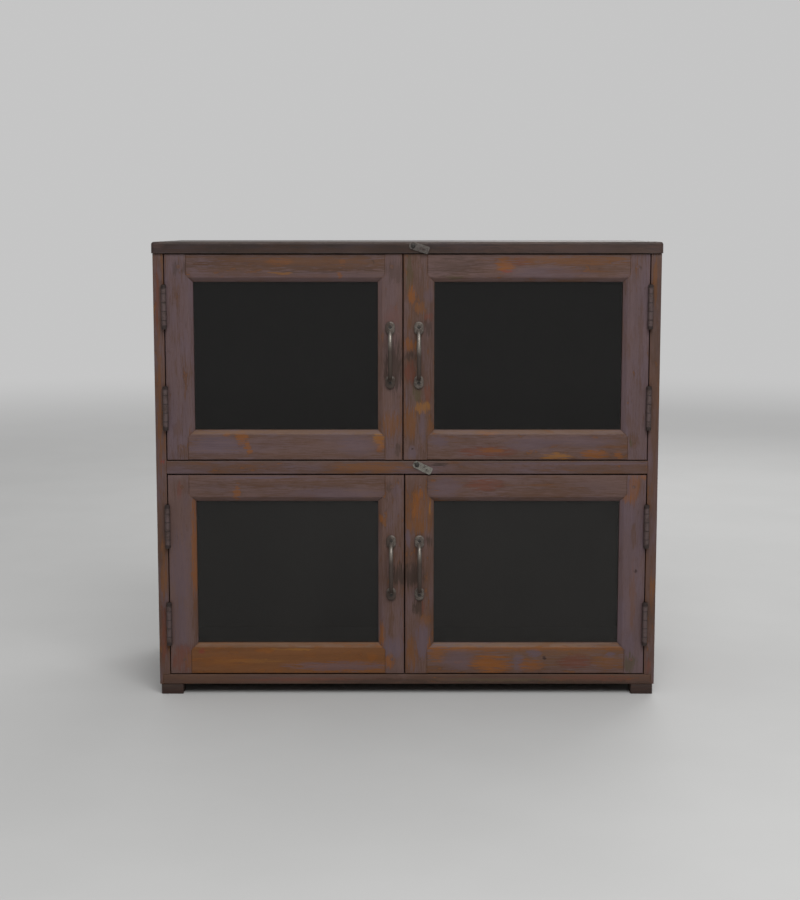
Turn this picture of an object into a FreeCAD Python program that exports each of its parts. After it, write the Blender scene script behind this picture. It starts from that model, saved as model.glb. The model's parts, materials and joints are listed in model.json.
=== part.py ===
import FreeCAD, Part
import os
import re
import Sketcher
from FreeCAD import Placement, Rotation, Vector

# A glazed kitchen cabinet with four hinged doors. X runs to the right, Y to the back and Z up.
# The origin is on the floor, under the middle of the box that the cabinet fills.

# Driving dimensions in millimetres and degrees
sizes = {
    # case boards
    "case_width": 906,
    "case_depth": 385,
    "foot_height": 19,
    "floor_thick": 18,
    "lower_opening": 371,
    "shelf_thick": 24,
    "upper_opening": 372,
    "top_thick": 20.5,
    "top_side_lip": 2,
    "top_front_lip": 4,
    "top_corner_round": 6,
    "top_edge_round": 5,
    "side_thick": 19,
    "floor_housing": 12.5,
    "shelf_housing": 6,
    "housing_stop": 20,
    "board_arris": 1,
    # back planks
    "back_thick": 12,
    "back_housing": 9,
    "inner_plank_wide": 201,
    "tongue_thick": 4,
    "tongue_long": 5,
    "tongue_play": 0.3,
    # feet and stops
    "foot_wide": 40,
    "foot_inset": 1.5,
    "foot_side_inset": 2.5,
    "stop_wide": 12,
    "stop_gap": 0.5,
    # doors
    "door_thick": 22,
    "hinge_gap": 1.4,
    "upper_meeting_offset": 7.5,
    "lower_meeting_offset": 4.5,
    "meeting_gap": 1.8,
    "upper_sill_gap": 2,
    "upper_head_gap": 1.5,
    "lower_sill_gap": 2,
    "lower_head_gap": 2,
    "left_hinge_stile": 50.6,
    "right_hinge_stile": 47.6,
    "upper_left_lock_stile": 43.9,
    "upper_right_lock_stile": 55.1,
    "lower_left_lock_stile": 46.9,
    "lower_right_lock_stile": 52.1,
    "upper_top_rail": 49.2,
    "upper_bottom_rail": 54,
    "lower_top_rail": 48,
    "lower_bottom_rail": 56.5,
    "mitre_wide": 12.5,
    "bevel_wide": 8,
    "bevel_deep": 5,
    "door_arris": 1,
    "tenon_long": 25,
    "tenon_thick": 8,
    "tenon_setback": 7,
    "tenon_haunch": 8,
    "tenon_end_play": 0.5,
    "peg_wide": 6,
    "peg_play": 0.1,
    # glass and beads
    "rebate_wide": 8,
    "rebate_front": 10,
    "glass_thick": 3,
    "glass_play": 1,
    "bead_wide": 7.5,
    # butt hinges
    "hinge_long": 79,
    "hinge_inset": 54,
    "leaf_thick": 2,
    "leaf_wide": 18,
    "leaf_play": 0.2,
    "knuckle_wide": 9.5,
    "knuckle_play": 0.3,
    "pin_wide": 4,
    "pin_fit": 0.05,
    "pin_play": 0.2,
    "screw_spread": 28,
    # screws and nails
    "screw_head": 6.8,
    "screw_shank": 3.6,
    "screw_long": 16,
    "screw_point": 4,
    "screw_fit": 0.05,
    "slot_wide": 0.9,
    "slot_deep": 0.7,
    "nail_head": 5,
    "nail_head_thick": 1,
    "nail_shank": 2.4,
    "nail_long": 45,
    "nail_end_inset": 30,
    # handles
    "handle_long": 120,
    "handle_pad": 17,
    "pad_thick": 4,
    "pad_round": 1.5,
    "handle_reach": 30,
    "grip_wide": 7,
    "grip_bend": 20,
    "grip_root": 7.5,
    "upper_handle_height": 189,
    "lower_handle_height": 197,
    # turn buttons
    "button_wide": 13,
    "button_tail": 7,
    "button_long": 29,
    "button_thick": 1.6,
    "button_tail_round": 5.5,
    "button_end_round": 2,
    "button_lip": 4,
    "button_gap": 0.4,
    "button_hole": 2.6,
    "button_hole_drop": 20,
    "pivot_play": 0.3,
    "pivot_head": 8,
    "pivot_head_thick": 2.6,
    "pivot_head_round": 2.2,
    "pivot_shank": 3.6,
    "pivot_long": 20,
    "pivot_drop": 7,
    "top_button_place": 10.8,
    "middle_button_place": 17.7,
    "top_button_turn": 72,
    "middle_button_turn": 64,
    # overrun of a cut past the face it leaves
    "overrun": 1,
}
nails_per_side = 5
screw_steps = (-1, 0, 1)
quarter_turn_share = 0.5 ** 0.5
same_place = 1e-6

doc = FreeCAD.newDocument("GlazedCabinet")
sheet = doc.addObject("Spreadsheet::Sheet", "Sizes")
for row, (alias, number) in enumerate(sizes.items(), start=1):
    sheet.set(f"A{row}", str(number))
    sheet.setAlias(f"A{row}", alias)
doc.recompute()

# Levels and planes that several pieces share, as formulas of the sizes
face = "((handle_reach - case_depth) / 2)"
half_width = "(case_width / 2)"
half_inside = "(case_width / 2 - side_thick)"
floor_top = "(foot_height + floor_thick)"
shelf_under = f"({floor_top} + lower_opening)"
shelf_top = f"({shelf_under} + shelf_thick)"
top_under = f"({shelf_top} + upper_opening)"
inside_depth = "(case_depth - back_thick)"
hinge_axis_out = "(knuckle_wide / 2 + knuckle_play)"


def bound(text):
    """A formula whose size names point into the sheet."""
    return re.sub(r"[a-z][a-z_]*", lambda word: "Sizes." + word.group()
                  if word.group() in sizes else word.group(), text)


def value(text):
    """What a formula comes to now."""
    result = sheet.evalExpression(bound(text))
    return float(getattr(result, "Value", result))


def bind(thing, field, text):
    thing.setExpression(field, bound(text))


def place(thing, x, y, z, turn=None):
    thing.Placement = Placement(Vector(value(x), value(y), value(z)), turn or Rotation())
    bind(thing, "Placement.Base.x", x)
    bind(thing, "Placement.Base.y", y)
    bind(thing, "Placement.Base.z", z)


def new_body(name, x="0", y="0", z="0", turn=None):
    body = doc.addObject("PartDesign::Body", name)
    body.Label = name
    place(body, x, y, z, turn)
    return body


def new_sketch(body, name, role, start):
    """A sketch on one of the body's own planes, moved to start along that plane's axis."""
    sketch = body.newObject("Sketcher::SketchObject", name)
    plane = next(item for item in body.Origin.OriginFeatures if item.Role == role)
    sketch.AttachmentSupport = [(plane, "")]
    sketch.MapMode = "FlatFace"
    bind(sketch, "AttachmentOffset.Base.z", f"-({start})" if role == "XZ_Plane" else start)
    return sketch


def pin_point(sketch, line, end, x, y):
    """Ties one point of a sketch to a place given by two formulas."""
    for kind, text in (("DistanceX", x), ("DistanceY", y)):
        rule = Sketcher.Constraint(kind, -1, 1, line, end, value(text))
        number = sketch.addConstraint(rule)
        bind(sketch, f"Constraints[{number}]", text)


def outline(body, name, role, corners, start="0"):
    sketch = new_sketch(body, name, role, start)
    points = [Vector(value(x), value(y), 0) for x, y in corners]
    count = len(points)
    for number in range(count):
        sketch.addGeometry(Part.LineSegment(points[number], points[(number + 1) % count]), False)
    for number in range(count):
        sketch.addConstraint(Sketcher.Constraint("Coincident", number, 2, (number + 1) % count, 1))
    for number, (x, y) in enumerate(corners):
        pin_point(sketch, number, 1, x, y)
    return sketch


def rings(body, name, role, centres, across, start="0"):
    sketch = new_sketch(body, name, role, start)
    for number, (x, y) in enumerate(centres):
        centre = Vector(value(x), value(y), 0)
        sketch.addGeometry(Part.Circle(centre, Vector(0, 0, 1), value(across) / 2), False)
        pin_point(sketch, number, 3, x, y)
        rule = sketch.addConstraint(Sketcher.Constraint("Diameter", number, value(across)))
        bind(sketch, f"Constraints[{rule}]", across)
    return sketch


def rectangle(low_x, high_x, low_y, high_y):
    return [(low_x, low_y), (high_x, low_y), (high_x, high_y), (low_x, high_y)]


def add(body, sketch, length):
    """Grows a sketch towards +X, +Y or +Z."""
    pad = body.newObject("PartDesign::Pad", sketch.Name + "_pad")
    pad.Profile = sketch
    pad.Reversed = "XZ_Plane" in sketch.AttachmentSupport[0][0].Role
    bind(pad, "Length", length)
    body.Tip = pad
    doc.recompute()
    return pad


def cut(body, sketch, length):
    """Cuts a sketch out of its body towards +X, +Y or +Z, and makes sure that wood came off."""
    before = body.Shape.Volume
    pocket = body.newObject("PartDesign::Pocket", sketch.Name + "_cut")
    pocket.Profile = sketch
    pocket.Reversed = "XZ_Plane" not in sketch.AttachmentSupport[0][0].Role
    bind(pocket, "Length", length)
    body.Tip = pocket
    doc.recompute()
    if not body.Shape.Volume < before:
        raise ValueError(sketch.Name + " cuts nothing")
    return pocket


def soften(body, name, kind, across, pick):
    """Rounds or chamfers the edges whose middle point pick accepts."""
    edges = []
    for number, edge in enumerate(body.Shape.Edges, start=1):
        middle = edge.valueAt((edge.FirstParameter + edge.LastParameter) / 2)
        if pick(body.Placement.inverse().multVec(middle), edge):
            edges.append(f"Edge{number}")
    if not edges:
        raise ValueError(name + " finds no edge")
    base = body.Tip
    feature = body.newObject("PartDesign::" + kind, name)
    feature.Base = (base, edges)
    bind(feature, "Radius" if kind == "Fillet" else "Size", across)
    body.Tip = feature
    doc.recompute()
    return feature


def near(number, text):
    return abs(number - value(text)) < same_place


def runs_along(edge, axis):
    ends = [vertex.Point[axis] for vertex in edge.Vertexes]
    return len(ends) == 2 and abs(abs(ends[0] - ends[1]) - edge.Length) < same_place


def group(name, members):
    """Several separate solids that share one name."""
    bundle = doc.addObject("Part::Compound", name)
    bundle.Label = name
    bundle.Links = members
    return bundle


def copy_of(master, name, x, y, z, turn=None):
    link = doc.addObject("App::Link", name)
    link.LinkedObject = master
    place(link, x, y, z, turn)
    return link


def mirrored(way, text):
    """A place along X, counted the other way for what opens on the right."""
    return text if way > 0 else f"-({text})"


def span(way, low, high):
    """The two ends of a stretch along X, the lower one first, for either hand."""
    if way > 0:
        return low, high
    return mirrored(way, high), mirrored(way, low)


# The four doors: which hand, and what each one takes from the sizes
doors = {}
for level, low, high in (("upper", shelf_top, top_under), ("lower", floor_top, shelf_under)):
    for side, way in (("left", 1), ("right", -1)):
        edge = f"({half_inside} - hinge_gap)"
        reach = f"({edge} - meeting_gap / 2 - {'' if way > 0 else '-'}{level}_meeting_offset)"
        doors[f"{level}_{side}"] = {
            "way": way,
            "level": level,
            "hinge_x": f"-{edge}" if way > 0 else edge,
            "low": f"({low} + {level}_sill_gap)",
            "tall": f"({level}_opening - {level}_sill_gap - {level}_head_gap)",
            "wide": reach,
            "hinge_stile": f"{side}_hinge_stile",
            "lock_stile": f"{level}_{side}_lock_stile",
            "top_rail": f"{level}_top_rail",
            "bottom_rail": f"{level}_bottom_rail",
            "handle_height": f"{level}_handle_height",
        }


def hinge_middles(door):
    """How high the middle of each of a door's two hinges is above its bottom edge."""
    half = "(hinge_inset + hinge_long / 2)"
    return [half, f"({door['tall']} - {half})"]


def screw_heights(middle):
    return [f"{middle} + {step} * screw_spread" for step in screw_steps]


screw_depth = "(leaf_wide / 2)"


def door_body(name, part):
    door = doors[name]
    return new_body(f"{name}_{part}", door["hinge_x"], face, door["low"])


def stile(name, which):
    """An upright of a door's frame, moulded along its length and then cut for its joints."""
    door = doors[name]
    way = door["way"]
    body = door_body(name, which)
    wide = door[which]
    lock = which == "lock_stile"

    def across(text):
        return mirrored(way, f"({door['wide']} - ({text}))" if lock else text)

    profile = outline(body, f"{name}_{which}_section", "XY_Plane", [
        (across("0"), "0"),
        (across(f"{wide} - bevel_wide"), "0"),
        (across(wide), "bevel_deep"),
        (across(wide), "rebate_front"),
        (across(f"{wide} - rebate_wide"), "rebate_front"),
        (across(f"{wide} - rebate_wide"), "door_thick"),
        (across("0"), "door_thick")])
    add(body, profile, door["tall"])

    for end, rail in (("bottom", door["bottom_rail"]), ("top", door["top_rail"])):
        def up(text):
            return text if end == "bottom" else f"{door['tall']} - ({text})"

        shoulder = outline(body, f"{name}_{which}_{end}_shoulder", "XZ_Plane", [
            (across(f"{wide} - mitre_wide"), up("-overrun")),
            (across(f"{wide} + overrun"), up("-overrun")),
            (across(f"{wide} + overrun"), up(f"{rail} + overrun")),
            (across(f"{wide} - mitre_wide"), up(f"{rail} - mitre_wide"))], "-overrun")
        cut(body, shoulder, "door_thick + 2 * overrun")
        inner = f"{wide} - mitre_wide"
        mortise = outline(body, f"{name}_{which}_{end}_mortise", "XZ_Plane", rectangle(
            across(f"{inner} - tenon_long - tenon_end_play"), across(inner),
            up("tenon_haunch"), up(f"{rail} - mitre_wide")), "tenon_setback")
        cut(body, mortise, "tenon_thick")

    peg_x = across(f"{wide} - mitre_wide - tenon_long / 2")
    pegs = rings(body, f"{name}_{which}_peg_holes", "XZ_Plane",
                 [(peg_x, height) for height in peg_heights(door)], "peg_wide", "-overrun")
    cut(body, pegs, "door_thick + 2 * overrun")
    if not lock:
        hinge_seats(body, f"{name}_{which}", way, hinge_middles(door), "0")
    else:
        bore_handle_screws(body, name)
    soften(body, f"{name}_{which}_arris", "Chamfer", "door_arris",
           lambda point, edge: near(point.y, "0") and near(point.x, across("0"))
           and runs_along(edge, 2))
    return body


def peg_heights(door):
    lower = f"(tenon_haunch + {door['bottom_rail']} - mitre_wide) / 2"
    upper = f"{door['tall']} - (tenon_haunch + {door['top_rail']} - mitre_wide) / 2"
    return [lower, upper]


def hinge_seats(body, name, way, middles, surface):
    """Shallow pockets for hinge leaves in a face square to X, and the holes for their screws."""
    low = span(way, surface, f"{surface} + leaf_thick")[0]
    for number, middle in enumerate(middles):
        seat = outline(body, f"{name}_seat_{number}", "YZ_Plane", rectangle(
            "-overrun", "leaf_wide + leaf_play",
            f"{middle} - hinge_long / 2 - leaf_play", f"{middle} + hinge_long / 2 + leaf_play"), low)
        cut(body, seat, "leaf_thick")
    low = span(way, surface, f"{surface} + screw_long")[0]
    heights = [height for middle in middles for height in screw_heights(middle)]
    holes = rings(body, f"{name}_screw_holes", "YZ_Plane",
                  [(screw_depth, height) for height in heights], "screw_shank + 2 * screw_fit", low)
    cut(body, holes, "screw_long")


def bore_handle_screws(body, name):
    door = doors[name]
    x = handle_x(door)
    holes = rings(body, f"{name}_handle_holes", "XZ_Plane",
                  [(x, height) for height in handle_screw_heights(door)],
                  "screw_shank + 2 * screw_fit", "-overrun")
    cut(body, holes, "screw_long - pad_thick + overrun")


def handle_x(door):
    """The middle of the lock stile, from the hinge edge."""
    return mirrored(door["way"], f"{door['wide']} - {door['lock_stile']} / 2")


def handle_screw_heights(door):
    half = "(handle_long - handle_pad) / 2"
    return [f"{door['handle_height']} - {half}", f"{door['handle_height']} + {half}"]


def rail(name, which):
    """A cross rail with its tenons, moulded along its inner edge like the stiles."""
    door = doors[name]
    way = door["way"]
    body = door_body(name, which)
    tall = door[which]
    left = f"({door['hinge_stile']} - mitre_wide)"
    right = f"({door['wide']} - {door['lock_stile']} + mitre_wide)"

    def up(text):
        return text if which == "bottom_rail" else f"{door['tall']} - ({text})"

    low = span(way, left, right)[0]
    profile = outline(body, f"{name}_{which}_section", "YZ_Plane", [
        ("0", up("0")),
        ("0", up(f"{tall} - bevel_wide")),
        ("bevel_deep", up(tall)),
        ("rebate_front", up(tall)),
        ("rebate_front", up(f"{tall} - rebate_wide")),
        ("door_thick", up(f"{tall} - rebate_wide")),
        ("door_thick", up("0"))], low)
    add(body, profile, f"{right} - {left}")

    for end, shoulder, inward in (("hinge", left, "+"), ("lock", right, "-")):
        outward = "-" if inward == "+" else "+"
        mitre = outline(body, f"{name}_{which}_{end}_mitre", "XZ_Plane", [
            (mirrored(way, f"{shoulder} {outward} overrun"), up(f"{tall} - mitre_wide - overrun")),
            (mirrored(way, f"{shoulder} {inward} mitre_wide {inward} overrun"), up(f"{tall} + overrun")),
            (mirrored(way, f"{shoulder} {outward} overrun"), up(f"{tall} + overrun"))], "-overrun")
        cut(body, mitre, "door_thick + 2 * overrun")
        tenon = outline(body, f"{name}_{which}_{end}_tenon", "XZ_Plane", rectangle(
            mirrored(way, shoulder), mirrored(way, f"{shoulder} {outward} tenon_long"),
            up("tenon_haunch"), up(f"{tall} - mitre_wide")), "tenon_setback")
        add(body, tenon, "tenon_thick")
        peg_x = mirrored(way, f"{shoulder} {outward} tenon_long / 2")
        height = peg_heights(door)[0 if which == "bottom_rail" else 1]
        hole = rings(body, f"{name}_{which}_{end}_peg_hole", "XZ_Plane",
                     [(peg_x, height)], "peg_wide", "tenon_setback - overrun")
        cut(body, hole, "tenon_thick + 2 * overrun")
    soften(body, f"{name}_{which}_arris", "Chamfer", "door_arris",
           lambda point, edge: near(point.y, "0") and near(point.z, up("0"))
           and runs_along(edge, 0))
    return body


def pegs(name):
    """Round pins through the four corner joints."""
    door = doors[name]
    left = f"{door['hinge_stile']} - mitre_wide - tenon_long / 2"
    right = f"{door['wide']} - ({door['lock_stile']} - mitre_wide - tenon_long / 2)"
    members = []
    for number, (x, height) in enumerate((x, height) for x in (left, right)
                                         for height in peg_heights(door)):
        pin = doc.addObject("Part::Cylinder", f"{name}_peg_{number}")
        bind(pin, "Radius", "peg_wide / 2 - peg_play")
        bind(pin, "Height", "door_thick")
        place(pin, f"{door['hinge_x']} + {mirrored(door['way'], x)}", face,
              f"{door['low']} + {height}", Rotation(Vector(0, 0, 1), Vector(0, 1, 0)))
        members.append(pin)
    return group(f"{name}_pegs", members)


def glass(name):
    door = doors[name]
    body = door_body(name, "glass")
    edge = "(rebate_wide - glass_play)"
    left, right = span(door["way"], f"{door['hinge_stile']} - {edge}",
                       f"{door['wide']} - {door['lock_stile']} + {edge}")
    pane = outline(body, f"{name}_glass_outline", "XZ_Plane", rectangle(
        left, right, f"{door['bottom_rail']} - {edge}",
        f"{door['tall']} - {door['top_rail']} + {edge}"), "rebate_front")
    add(body, pane, "glass_thick")
    return body


def glazing_beads(name):
    """Four strips behind the glass: two uprights, and two cross strips between them."""
    door = doors[name]
    left = f"({door['hinge_stile']} - rebate_wide)"
    right = f"({door['wide']} - {door['lock_stile']} + rebate_wide)"
    low = f"({door['bottom_rail']} - rebate_wide)"
    high = f"({door['tall']} - {door['top_rail']} + rebate_wide)"
    strips = (
        (left, f"({left} + bead_wide)", low, high),
        (f"({right} - bead_wide)", right, low, high),
        (f"({left} + bead_wide)", f"({right} - bead_wide)", low, f"({low} + bead_wide)"),
        (f"({left} + bead_wide)", f"({right} - bead_wide)", f"({high} - bead_wide)", high))
    members = []
    for number, (start, stop, bottom, top) in enumerate(strips):
        start, stop = span(door["way"], start, stop)
        strip = doc.addObject("Part::Box", f"{name}_bead_{number}")
        bind(strip, "Length", f"{stop} - ({start})")
        bind(strip, "Width", "door_thick - rebate_front - glass_thick")
        bind(strip, "Height", f"{top} - {bottom}")
        place(strip, f"{door['hinge_x']} + {start}", f"{face} + rebate_front + glass_thick",
              f"{door['low']} + {bottom}")
        members.append(strip)
    return group(f"{name}_glazing_beads", members)


def grip_path(body, name):
    """The middle line of the grip: out of one pad, round a bend, down, round and back."""
    out = "(grip_wide / 2 - handle_reach)"
    bend_y = f"({out} + grip_bend)"
    high = "((handle_long - handle_pad) / 2 - grip_root)"
    bend_z = f"({high} - grip_bend)"
    stops = [("0", high), (bend_y, high), (out, bend_z), (out, f"-{bend_z}"),
             (bend_y, f"-{high}"), ("0", f"-{high}")]
    points = [Vector(value(y), value(z), 0) for y, z in stops]
    centres = [Vector(value(bend_y), value(text), 0) for text in (bend_z, f"-{bend_z}")]
    lean = value("grip_bend") * quarter_turn_share
    crowns = [centres[0] + Vector(-lean, lean, 0), centres[1] + Vector(-lean, -lean, 0)]
    sketch = new_sketch(body, name, "YZ_Plane", "0")
    sketch.addGeometry(Part.LineSegment(points[0], points[1]), False)
    sketch.addGeometry(Part.Arc(points[1], crowns[0], points[2]), False)
    sketch.addGeometry(Part.LineSegment(points[2], points[3]), False)
    sketch.addGeometry(Part.Arc(points[3], crowns[1], points[4]), False)
    sketch.addGeometry(Part.LineSegment(points[4], points[5]), False)
    for line, first in ((0, 0), (2, 2), (4, 4)):
        pin_point(sketch, line, 1, *stops[first])
        pin_point(sketch, line, 2, *stops[first + 1])
    for arc, before, after in ((1, 0, 2), (3, 2, 4)):
        sketch.addConstraint(Sketcher.Constraint("Coincident", arc, 1, before, 2))
        sketch.addConstraint(Sketcher.Constraint("Coincident", arc, 2, after, 1))
        rule = Sketcher.Constraint("DistanceX", -1, 1, arc, 3, value(bend_y))
        bind(sketch, f"Constraints[{sketch.addConstraint(rule)}]", bend_y)
    return sketch


def handle(name):
    """A bow handle: a bent round bar between two round pads, each with a countersunk hole."""
    door = doors[name]
    body = new_body(f"{name}_handle", f"{door['hinge_x']} + {handle_x(door)}", face,
                    f"{door['low']} + {door['handle_height']}")
    half = "((handle_long - handle_pad) / 2)"
    path = grip_path(body, f"{name}_grip_path")
    high = f"({half} - grip_root)"
    ring = rings(body, f"{name}_grip_section", "XZ_Plane", [("0", high)], "grip_wide")
    doc.recompute()
    grip = body.newObject("PartDesign::AdditivePipe", f"{name}_grip")
    grip.Profile = ring
    grip.Spine = (path, [f"Edge{number}" for number in range(1, 6)])
    body.Tip = grip
    doc.recompute()
    pads = rings(body, f"{name}_handle_pads", "XZ_Plane",
                 [("0", half), ("0", f"-{half}")], "handle_pad", "-pad_thick")
    add(body, pads, "pad_thick")
    bores = rings(body, f"{name}_handle_bores", "XZ_Plane",
                  [("0", half), ("0", f"-{half}")], "screw_shank", "-pad_thick")
    doc.recompute()
    countersink(body, bores, f"{name}_handle_countersinks", False)
    return body


def countersink(body, circles, name, towards_plus_x):
    before = body.Shape.Volume
    hole = body.newObject("PartDesign::Hole", name)
    hole.Profile = circles
    doc.recompute()
    hole.Threaded = False
    hole.DepthType = "ThroughAll"
    bind(hole, "Diameter", "screw_shank + 2 * screw_fit")
    hole.HoleCutType = "Countersink"
    hole.HoleCutCustomValues = True
    bind(hole, "HoleCutDiameter", "screw_head + 2 * screw_fit")
    hole.HoleCutCountersinkAngle = 90
    hole.Reversed = towards_plus_x
    body.Tip = hole
    doc.recompute()
    if not body.Shape.Volume < before:
        raise ValueError(name + " cuts nothing")
    return hole


def knuckle_ends(number):
    """Where one of a hinge's five knuckles starts along the pin, and how long it is."""
    one = "(hinge_long - 4 * knuckle_play) / 5"
    low = f"({number} * ({one} + knuckle_play) - hinge_long / 2)"
    return low, one


def hinge_leaf(name, hand, knuckles):
    """One leaf of a butt hinge about the Z axis: a plate that reaches back, and its knuckles."""
    body = new_body(name)
    bore = "pin_wide / 2 + pin_fit" if hand < 0 else "pin_wide / 2 + pin_play"
    low = span(hand, "hinge_gap / 2", "(hinge_gap / 2 + leaf_thick)")[0]
    plate = outline(body, f"{name}_plate", "YZ_Plane", rectangle(
        hinge_axis_out, f"{hinge_axis_out} + leaf_wide", "-hinge_long / 2", "hinge_long / 2"), low)
    add(body, plate, "leaf_thick")
    for number in knuckles:
        bottom, one = knuckle_ends(number)
        tab = outline(body, f"{name}_tab_{number}", "YZ_Plane", rectangle(
            "0", f"{hinge_axis_out} + leaf_thick", bottom, f"{bottom} + {one}"), low)
        add(body, tab, "leaf_thick")
        barrel = rings(body, f"{name}_barrel_{number}", "XY_Plane", [("0", "0")],
                       "knuckle_wide", bottom)
        add(body, barrel, one)
    pin_bore = rings(body, f"{name}_pin_bore", "XY_Plane", [("0", "0")], f"2 * ({bore})",
                     "-hinge_long / 2 - overrun")
    cut(body, pin_bore, "hinge_long + 2 * overrun")
    holes = rings(body, f"{name}_screw_circles", "YZ_Plane",
                  [(f"{hinge_axis_out} + {screw_depth}", height) for height in screw_heights("0")],
                  "screw_shank", mirrored(hand, "hinge_gap / 2"))
    doc.recompute()
    countersink(body, holes, f"{name}_screw_bores", hand > 0)
    return body


def wood_screw():
    """A countersunk slotted screw, head at the origin and point towards +Z."""
    body = new_body("wood_screw")
    neck = "(screw_head - screw_shank) / 2"
    profile = outline(body, "wood_screw_section", "XZ_Plane", [
        ("0", "0"), ("screw_head / 2", "0"), ("screw_shank / 2", neck),
        ("screw_shank / 2", "screw_long - screw_point"), ("0", "screw_long")])
    turned = body.newObject("PartDesign::Revolution", "wood_screw_turned")
    turned.Profile = profile
    turned.ReferenceAxis = (profile, ["V_Axis"])
    turned.Angle = 360
    body.Tip = turned
    doc.recompute()
    slot = outline(body, "wood_screw_slot", "XY_Plane", rectangle(
        "-screw_head", "screw_head", "-slot_wide / 2", "slot_wide / 2"), "0")
    cut(body, slot, "slot_deep")
    return body


def nail():
    """A flat-headed nail, head at the origin and point towards +Z."""
    body = new_body("nail")
    head = rings(body, "nail_head_ring", "XY_Plane", [("0", "0")], "nail_head")
    add(body, head, "nail_head_thick")
    shank = rings(body, "nail_shank_ring", "XY_Plane", [("0", "0")], "nail_shank")
    add(body, shank, "nail_long")
    return body


def pivot_screw():
    """A round-headed screw that a turn button swings on, seat at the origin, point to +Z."""
    body = new_body("pivot_screw")
    head = rings(body, "pivot_head_ring", "XY_Plane", [("0", "0")], "pivot_head",
                 "-pivot_head_thick")
    add(body, head, "pivot_head_thick")
    soften(body, "pivot_head_dome", "Fillet", "pivot_head_round",
           lambda point, edge: near(point.z, "-pivot_head_thick"))
    shank = rings(body, "pivot_shank_ring", "XY_Plane", [("0", "0")], "pivot_shank")
    add(body, shank, "pivot_long")
    slot = outline(body, "pivot_slot", "XY_Plane", rectangle(
        "-pivot_head", "pivot_head", "-slot_wide / 2", "slot_wide / 2"),
        "-pivot_head_thick")
    cut(body, slot, "slot_deep")
    return body


towards_back = Rotation(Vector(0, 0, 1), Vector(0, 1, 0))
towards_left = Rotation(Vector(0, 0, 1), Vector(-1, 0, 0))
towards_right = Rotation(Vector(0, 0, 1), Vector(1, 0, 0))
upside_down = Rotation(Vector(0, 1, 0), 180)
downwards = Rotation(Vector(1, 0, 0), 180)

# Hinge places in the case: the pin's axis, and the middle of each hinge
pin_y = f"({face} - {hinge_axis_out})"


def pin_x(door):
    return f"({door['hinge_x']} - hinge_gap / 2)" if door["way"] > 0 \
        else f"({door['hinge_x']} + hinge_gap / 2)"


def hinge_copies(name, part, master):
    """The two copies of one leaf that belong to a door."""
    door = doors[name]
    turn = None if door["way"] > 0 else upside_down
    return [copy_of(master, f"{name}_{part}_{number}", pin_x(door), pin_y,
                    f"{door['low']} + {middle}", turn)
            for number, middle in enumerate(hinge_middles(door))]


def case_leaves(name, way, master):
    """The four leaves that stay on one side board."""
    members = []
    for door_name, door in doors.items():
        if door["way"] == way:
            members += hinge_copies(door_name, "case_leaf", master)
    return group(name, members)


def door_screws(name, master):
    """Three screws in each door leaf, and one in each pad of the handle."""
    door = doors[name]
    inward = towards_right if door["way"] > 0 else towards_left
    members = []
    for middle in hinge_middles(door):
        for height in screw_heights(middle):
            members.append(copy_of(master, f"{name}_screw_{len(members)}", door["hinge_x"],
                                   f"{face} + {screw_depth}", f"{door['low']} + {height}", inward))
    for height in handle_screw_heights(door):
        members.append(copy_of(master, f"{name}_screw_{len(members)}",
                               f"{door['hinge_x']} + {handle_x(door)}", f"{face} - pad_thick",
                               f"{door['low']} + {height}", towards_back))
    return group(f"{name}_screws", members)


def case_screws(master):
    """Three screws in each case leaf."""
    members = []
    for name, door in doors.items():
        outward = towards_left if door["way"] > 0 else towards_right
        x = f"-{half_inside}" if door["way"] > 0 else half_inside
        for middle in hinge_middles(door):
            for height in screw_heights(middle):
                members.append(copy_of(master, f"{name}_case_screw_{len(members)}", x,
                                       f"{face} + {screw_depth}", f"{door['low']} + {height}",
                                       outward))
    return group("case_screws", members)


def hinge_pins():
    members = []
    for name, door in doors.items():
        for middle in hinge_middles(door):
            pin = doc.addObject("Part::Cylinder", f"{name}_pin_{len(members)}")
            bind(pin, "Radius", "pin_wide / 2")
            bind(pin, "Height", "hinge_long")
            place(pin, pin_x(door), pin_y, f"{door['low']} + {middle} - hinge_long / 2")
            members.append(pin)
    return group("hinge_pins", members)


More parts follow.
